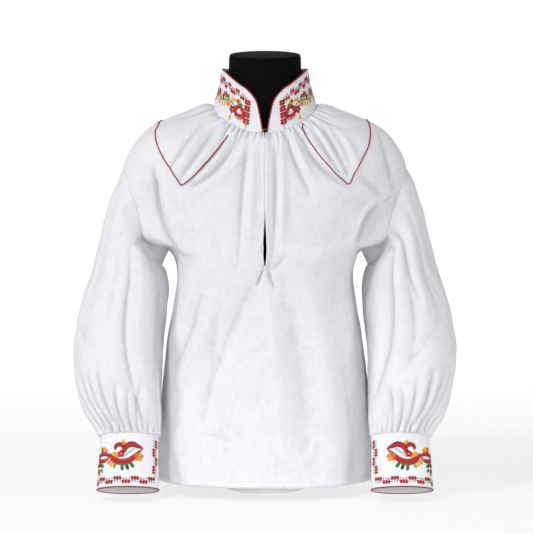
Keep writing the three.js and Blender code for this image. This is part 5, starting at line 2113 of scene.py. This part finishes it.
@dataclass
class YokeLines:
    """The red cords that mark the pointed shoulder pieces, on the front and on the back."""

    left: tuple[Pair, ...] = (
        (-166, 571), (-170, 559), (-166, 541), (-157, 523), (-143, 500), (-132, 483), (-126, 478.5),
        (-109, 493), (-87, 516), (-66, 541), (-57, 552.5),
    )
    right: tuple[Pair, ...] = (
        (162.5, 571), (163.5, 555), (158, 535), (149, 518.5), (137.5, 496), (130, 480.5),
        (121.5, 484.5), (103.5, 500.5), (85.5, 521), (67, 546), (59, 561.5), (57.5, 571),
    )

    def pinned(self, spots: tuple[Pair, ...], behind: bool) -> tuple[Array, Array]:
        """Angles and distances down the cloth for places given across and up.

        Args:
            spots: the places as seen from the front, or from the back.
            behind: whether they are on the back.

        Returns:
            The angles and the distances down.
        """
        turns = np.linspace(0.02, np.pi - 0.02, 420) + np.pi * behind
        angle, down = np.meshgrid(turns, np.linspace(4, 220, 217))
        seen = SHIRT.ring(angle, down)[..., [0, 2]]
        found = []
        for spot in spots:
            at = np.argmin(np.sum((seen - np.array(spot)) ** 2, axis=-1))
            found.append((angle.flat[at], down.flat[at]))
        return tuple(np.array(found).T)

    def lines(self) -> Piece:
        """All the lines as twisted cords laid on the cloth.

        Returns:
            The piece.
        """
        parts, faces, count = [], [], 0
        for spots in (self.left, self.right):
            front, front_down = self.pinned(spots, False)
            back, back_down = self.pinned(tuple((x, z + 16) for x, z in spots), True)
            back = back - 2 * np.pi * (spots[0][0] > 0)
            angle = np.concatenate([front[::-1], back])
            down = np.concatenate([front_down[::-1], back_down])
            at = np.linspace(0, len(angle) - 1, 520)
            table = SectionTable("at angle down", tuple(zip(range(len(angle)), angle, down)))
            a, d = table.value("angle", at), table.value("down", at)
            out = normal_of(SHIRT.body, a, d)
            points, quads = TwistedCord(1.15, 4.6, 6, 8).mesh(SHIRT.body(a, d) + out * 0.45, out, False)
            parts.append(points)
            faces.append(quads + count)
            count += len(points)
        silk = Silk.DEEP_RED.material()
        lines = mesh_object("yoke_lines", np.concatenate(parts), np.concatenate(faces), [silk])
        return declared(lines, "red_cord")


# ---- The dress form --------------------------------------------------------------------------------


@dataclass
class DressForm:
    """The black covered form, its flat neck cap and the plinth it stands on."""

    round_it: int = 112
    downs: Pair = (13.0, 93.0)
    wall: float = 1.2
    rest: float = 0.9
    centre: float = 9.0
    neck_top: float = 676.9
    neck_fall: float = 17.0
    neck_depth: float = 105.0
    cap_radius: float = 55.5
    plinth_radius: float = 62.0
    plinth_height: float = 22.0

    def body(self, finish: Finish) -> Piece:
        """The covered trunk and neck, which follow the shirt's own rings over the shoulders.

        Args:
            finish: its material.

        Returns:
            The piece.
        """
        turns = np.linspace(0, 2 * np.pi, self.round_it + 1)
        rows = [ring_point(FORM_NECK, at, turns) for at in np.linspace(0, 3, 13)]
        for down in np.linspace(*self.downs, 15):
            inwards = self.wall + self.rest + self.centre * np.sin(turns) ** 2
            along = np.full(turns.shape, down)
            rows.append(SHIRT.ring(turns, along) - normal_of(SHIRT.ring, turns, along) * inwards[:, None])
        rows += [ring_point(FORM_TRUNK, at, turns) for at in np.linspace(0, 10, 41)]
        points = np.stack(rows)
        top, foot = (np.broadcast_to(row.mean(axis=0), row.shape)[None] for row in (points[0], points[-1]))
        points = np.concatenate([top, points, foot])
        patch = Patch(points, points[..., :2])
        form = made_active(mesh_object("form_body", patch.points, patch.faces(0), [finish]))
        bpy.ops.object.mode_set(mode="EDIT")
        bpy.ops.mesh.select_all(action="SELECT")
        bpy.ops.mesh.remove_doubles(threshold=1e-5)
        bpy.ops.mesh.select_all(action="SELECT")
        bpy.ops.mesh.normals_make_consistent(inside=False)
        bpy.ops.object.mode_set(mode="OBJECT")
        return declared(form, "form_cloth", "form_torso")

    def disc(self, name: str, radius: float, height: float, bevel: float, finish: Finish) -> Piece:
        """A turned disc at the origin, its foot on the ground, with rounded rims.

        Args:
            name: the piece's name.
            radius: its radius.
            height: its height.
            bevel: how far its rims are rounded.
            finish: its material.

        Returns:
            The disc, modelled from a primitive.
        """
        nothing_selected()
        size = dict(radius=radius * MM, depth=height * MM, location=(0, 0, height * MM / 2))
        bpy.ops.mesh.primitive_cylinder_add(vertices=96, **size)
        disc = bpy.context.object
        disc.name = disc.data.name = name
        disc.data.materials.append(finish)
        edges_marked(disc, lambda ends: abs(ends[0].z - ends[1].z) < 1e-6)
        bpy.ops.mesh.bevel(offset=bevel * MM, segments=4, affect="EDGES")
        bpy.ops.mesh.select_all(action="SELECT")
        bpy.ops.mesh.normals_make_consistent(inside=False)
        bpy.ops.object.mode_set(mode="OBJECT")
        bpy.ops.object.transform_apply(location=True, rotation=True, scale=True)
        bpy.ops.object.shade_smooth_by_angle(angle=math.radians(40))
        return disc

    def cap(self, finish: Finish) -> Piece:
        """The flat cap on the neck, tilted to the front as the neck is cut.

        Args:
            finish: its material.

        Returns:
            The piece.
        """
        cap = self.disc("form_cap", self.cap_radius, 4.0, 1.6, finish)
        cap.scale = (1, 0.94, 1)
        cap.rotation_euler = (math.atan(self.neck_fall / self.neck_depth), 0, 0)
        cap.location = (0, -2.5 * MM, (self.neck_top + RISE) * MM)
        made_active(cap)
        bpy.ops.object.transform_apply(location=True, rotation=True, scale=True)
        return declared(cap, "form_cloth", "form_neck_cap")

    def plinth(self, finish: Finish) -> Piece:
        """The pale round plinth.

        Args:
            finish: its material.

        Returns:
            The piece.
        """
        plinth = self.disc("form_base", self.plinth_radius, self.plinth_height, 2.0, finish)
        made_active(plinth)
        return declared(plinth, "plinth", "form_plinth")


# ---- The studio ------------------------------------------------------------------------------------


@dataclass
class Studio:
    """A pale sweep of floor and wall, soft lights and the camera."""

    distance: float = 3.2
    elevation: float = math.radians(3.5)
    target: tuple[float, float, float] = (0.0024, 0.0, 0.3525)
    millimetres_per_dot: float = 1.58
    picture: int = 533

    def camera(self) -> None:
        """The camera, straight in front and a little above the middle of the shirt."""
        data = bpy.data.cameras.new("camera")
        data.sensor_width = 36.0
        data.lens = 36.0 * self.distance / (self.picture * self.millimetres_per_dot * MM)
        data.clip_start, data.clip_end = 0.05, 60
        camera = bpy.data.objects.new("camera", data)
        back = np.array([0, -math.cos(self.elevation), math.sin(self.elevation)])
        camera.location = np.array(self.target) + back * self.distance
        camera.rotation_euler = (math.pi / 2 - self.elevation, 0, 0)
        bpy.context.scene.collection.objects.link(camera)
        bpy.context.scene.camera = camera

    def sweep(self) -> None:
        """The floor, which bends up into a wall far behind the shirt."""
        nothing_selected()
        bpy.ops.mesh.primitive_plane_add(size=12, location=(0, 0, 0))
        floor = bpy.context.object
        floor.name = "studio_floor"
        edges_marked(floor, lambda ends: all(p.y > 5.9 for p in ends))
        bpy.ops.mesh.extrude_region_move(TRANSFORM_OT_translate={"value": (0, 0, 7)})
        bpy.ops.object.mode_set(mode="OBJECT")
        edges_marked(floor, lambda ends: all(p.y > 5.9 and p.z < 0.1 for p in ends))
        bpy.ops.mesh.bevel(offset=2.5, segments=16, affect="EDGES")
        bpy.ops.object.mode_set(mode="OBJECT")
        bpy.ops.object.shade_smooth()
        floor.data.materials.append(Backdrop().material())

    def lamp(self, name: str, place: tuple[float, float, float], size: float, power: float) -> None:
        """A square soft light that looks at the middle of the shirt.

        Args:
            name: the lamp's name.
            place: where it hangs.
            size: its face's width.
            power: how strong it is.
        """
        data = bpy.data.lights.new(name, "AREA")
        data.size, data.energy = size, power
        lamp = bpy.data.objects.new(name, data)
        lamp.location = place
        way = np.array(self.target) - np.array(place)
        flat = math.hypot(way[0], way[1])
        lamp.rotation_euler = (math.atan2(flat, -way[2]), 0, math.atan2(way[1], way[0]) - math.pi / 2)
        bpy.context.scene.collection.objects.link(lamp)

    def lights(self) -> None:
        """A light from above, one from each side, the left one stronger, a low one and a faint even sky."""
        self.lamp("key", (-1.6, -1.9, 2.9), 0.5, 63)
        self.lamp("left", (-2.7, -1.4, 1.0), 0.7, 29)
        self.lamp("right", (2.7, -1.3, 0.9), 0.7, 26)
        self.lamp("low", (0.2, -1.5, 0.06), 0.9, 17)
        world = bpy.data.worlds.new("studio_sky")
        world.use_nodes = True
        world.node_tree.nodes["Background"].inputs["Color"].default_value = (0.95, 0.97, 1.0, 1)
        world.node_tree.nodes["Background"].inputs["Strength"].default_value = 0.22
        bpy.context.scene.world = world
        bpy.context.scene.view_settings.view_transform = "Standard"

    def built(self) -> None:
        """Sets up the whole studio."""
        self.camera()
        self.sweep()
        self.lights()


# ---- The whole -------------------------------------------------------------------------------------


def main() -> None:
    """Builds the studio, the form and the shirt, piece by piece."""
    logging.basicConfig(level=logging.INFO, format="%(name)s: %(message)s")
    Studio().built()
    linen, band = BODY_LINEN.material(), BAND_LINEN.material()
    cover = FormCover().material()
    form = DressForm()
    form.body(cover)
    form.cap(cover)
    form.plinth(Painted("plinth_paint", (0.86, 0.855, 0.84)).material())
    body = Body()
    body.front(linen)
    body.back(linen)
    sleeves, cuffs, collar = Sleeves(), Cuffs(), Collar()
    for side in Side:
        body.facing(side, linen)
        sleeves.sleeve(side, linen)
        sleeves.gusset(side, linen)
        cuffs.cuff(side, band)
        cuffs.rim(side)
        cuffs.needlework(side)
    collar.band(band)
    collar.edging()
    collar.needlework()
    body.sewing()
    YokeLines().lines()
    hook = frame["nodes"]["collar_hook"]
    hook.data.materials.clear()
    hook.data.materials.append(Brass().material())


if __name__ == "__main__":
    main()
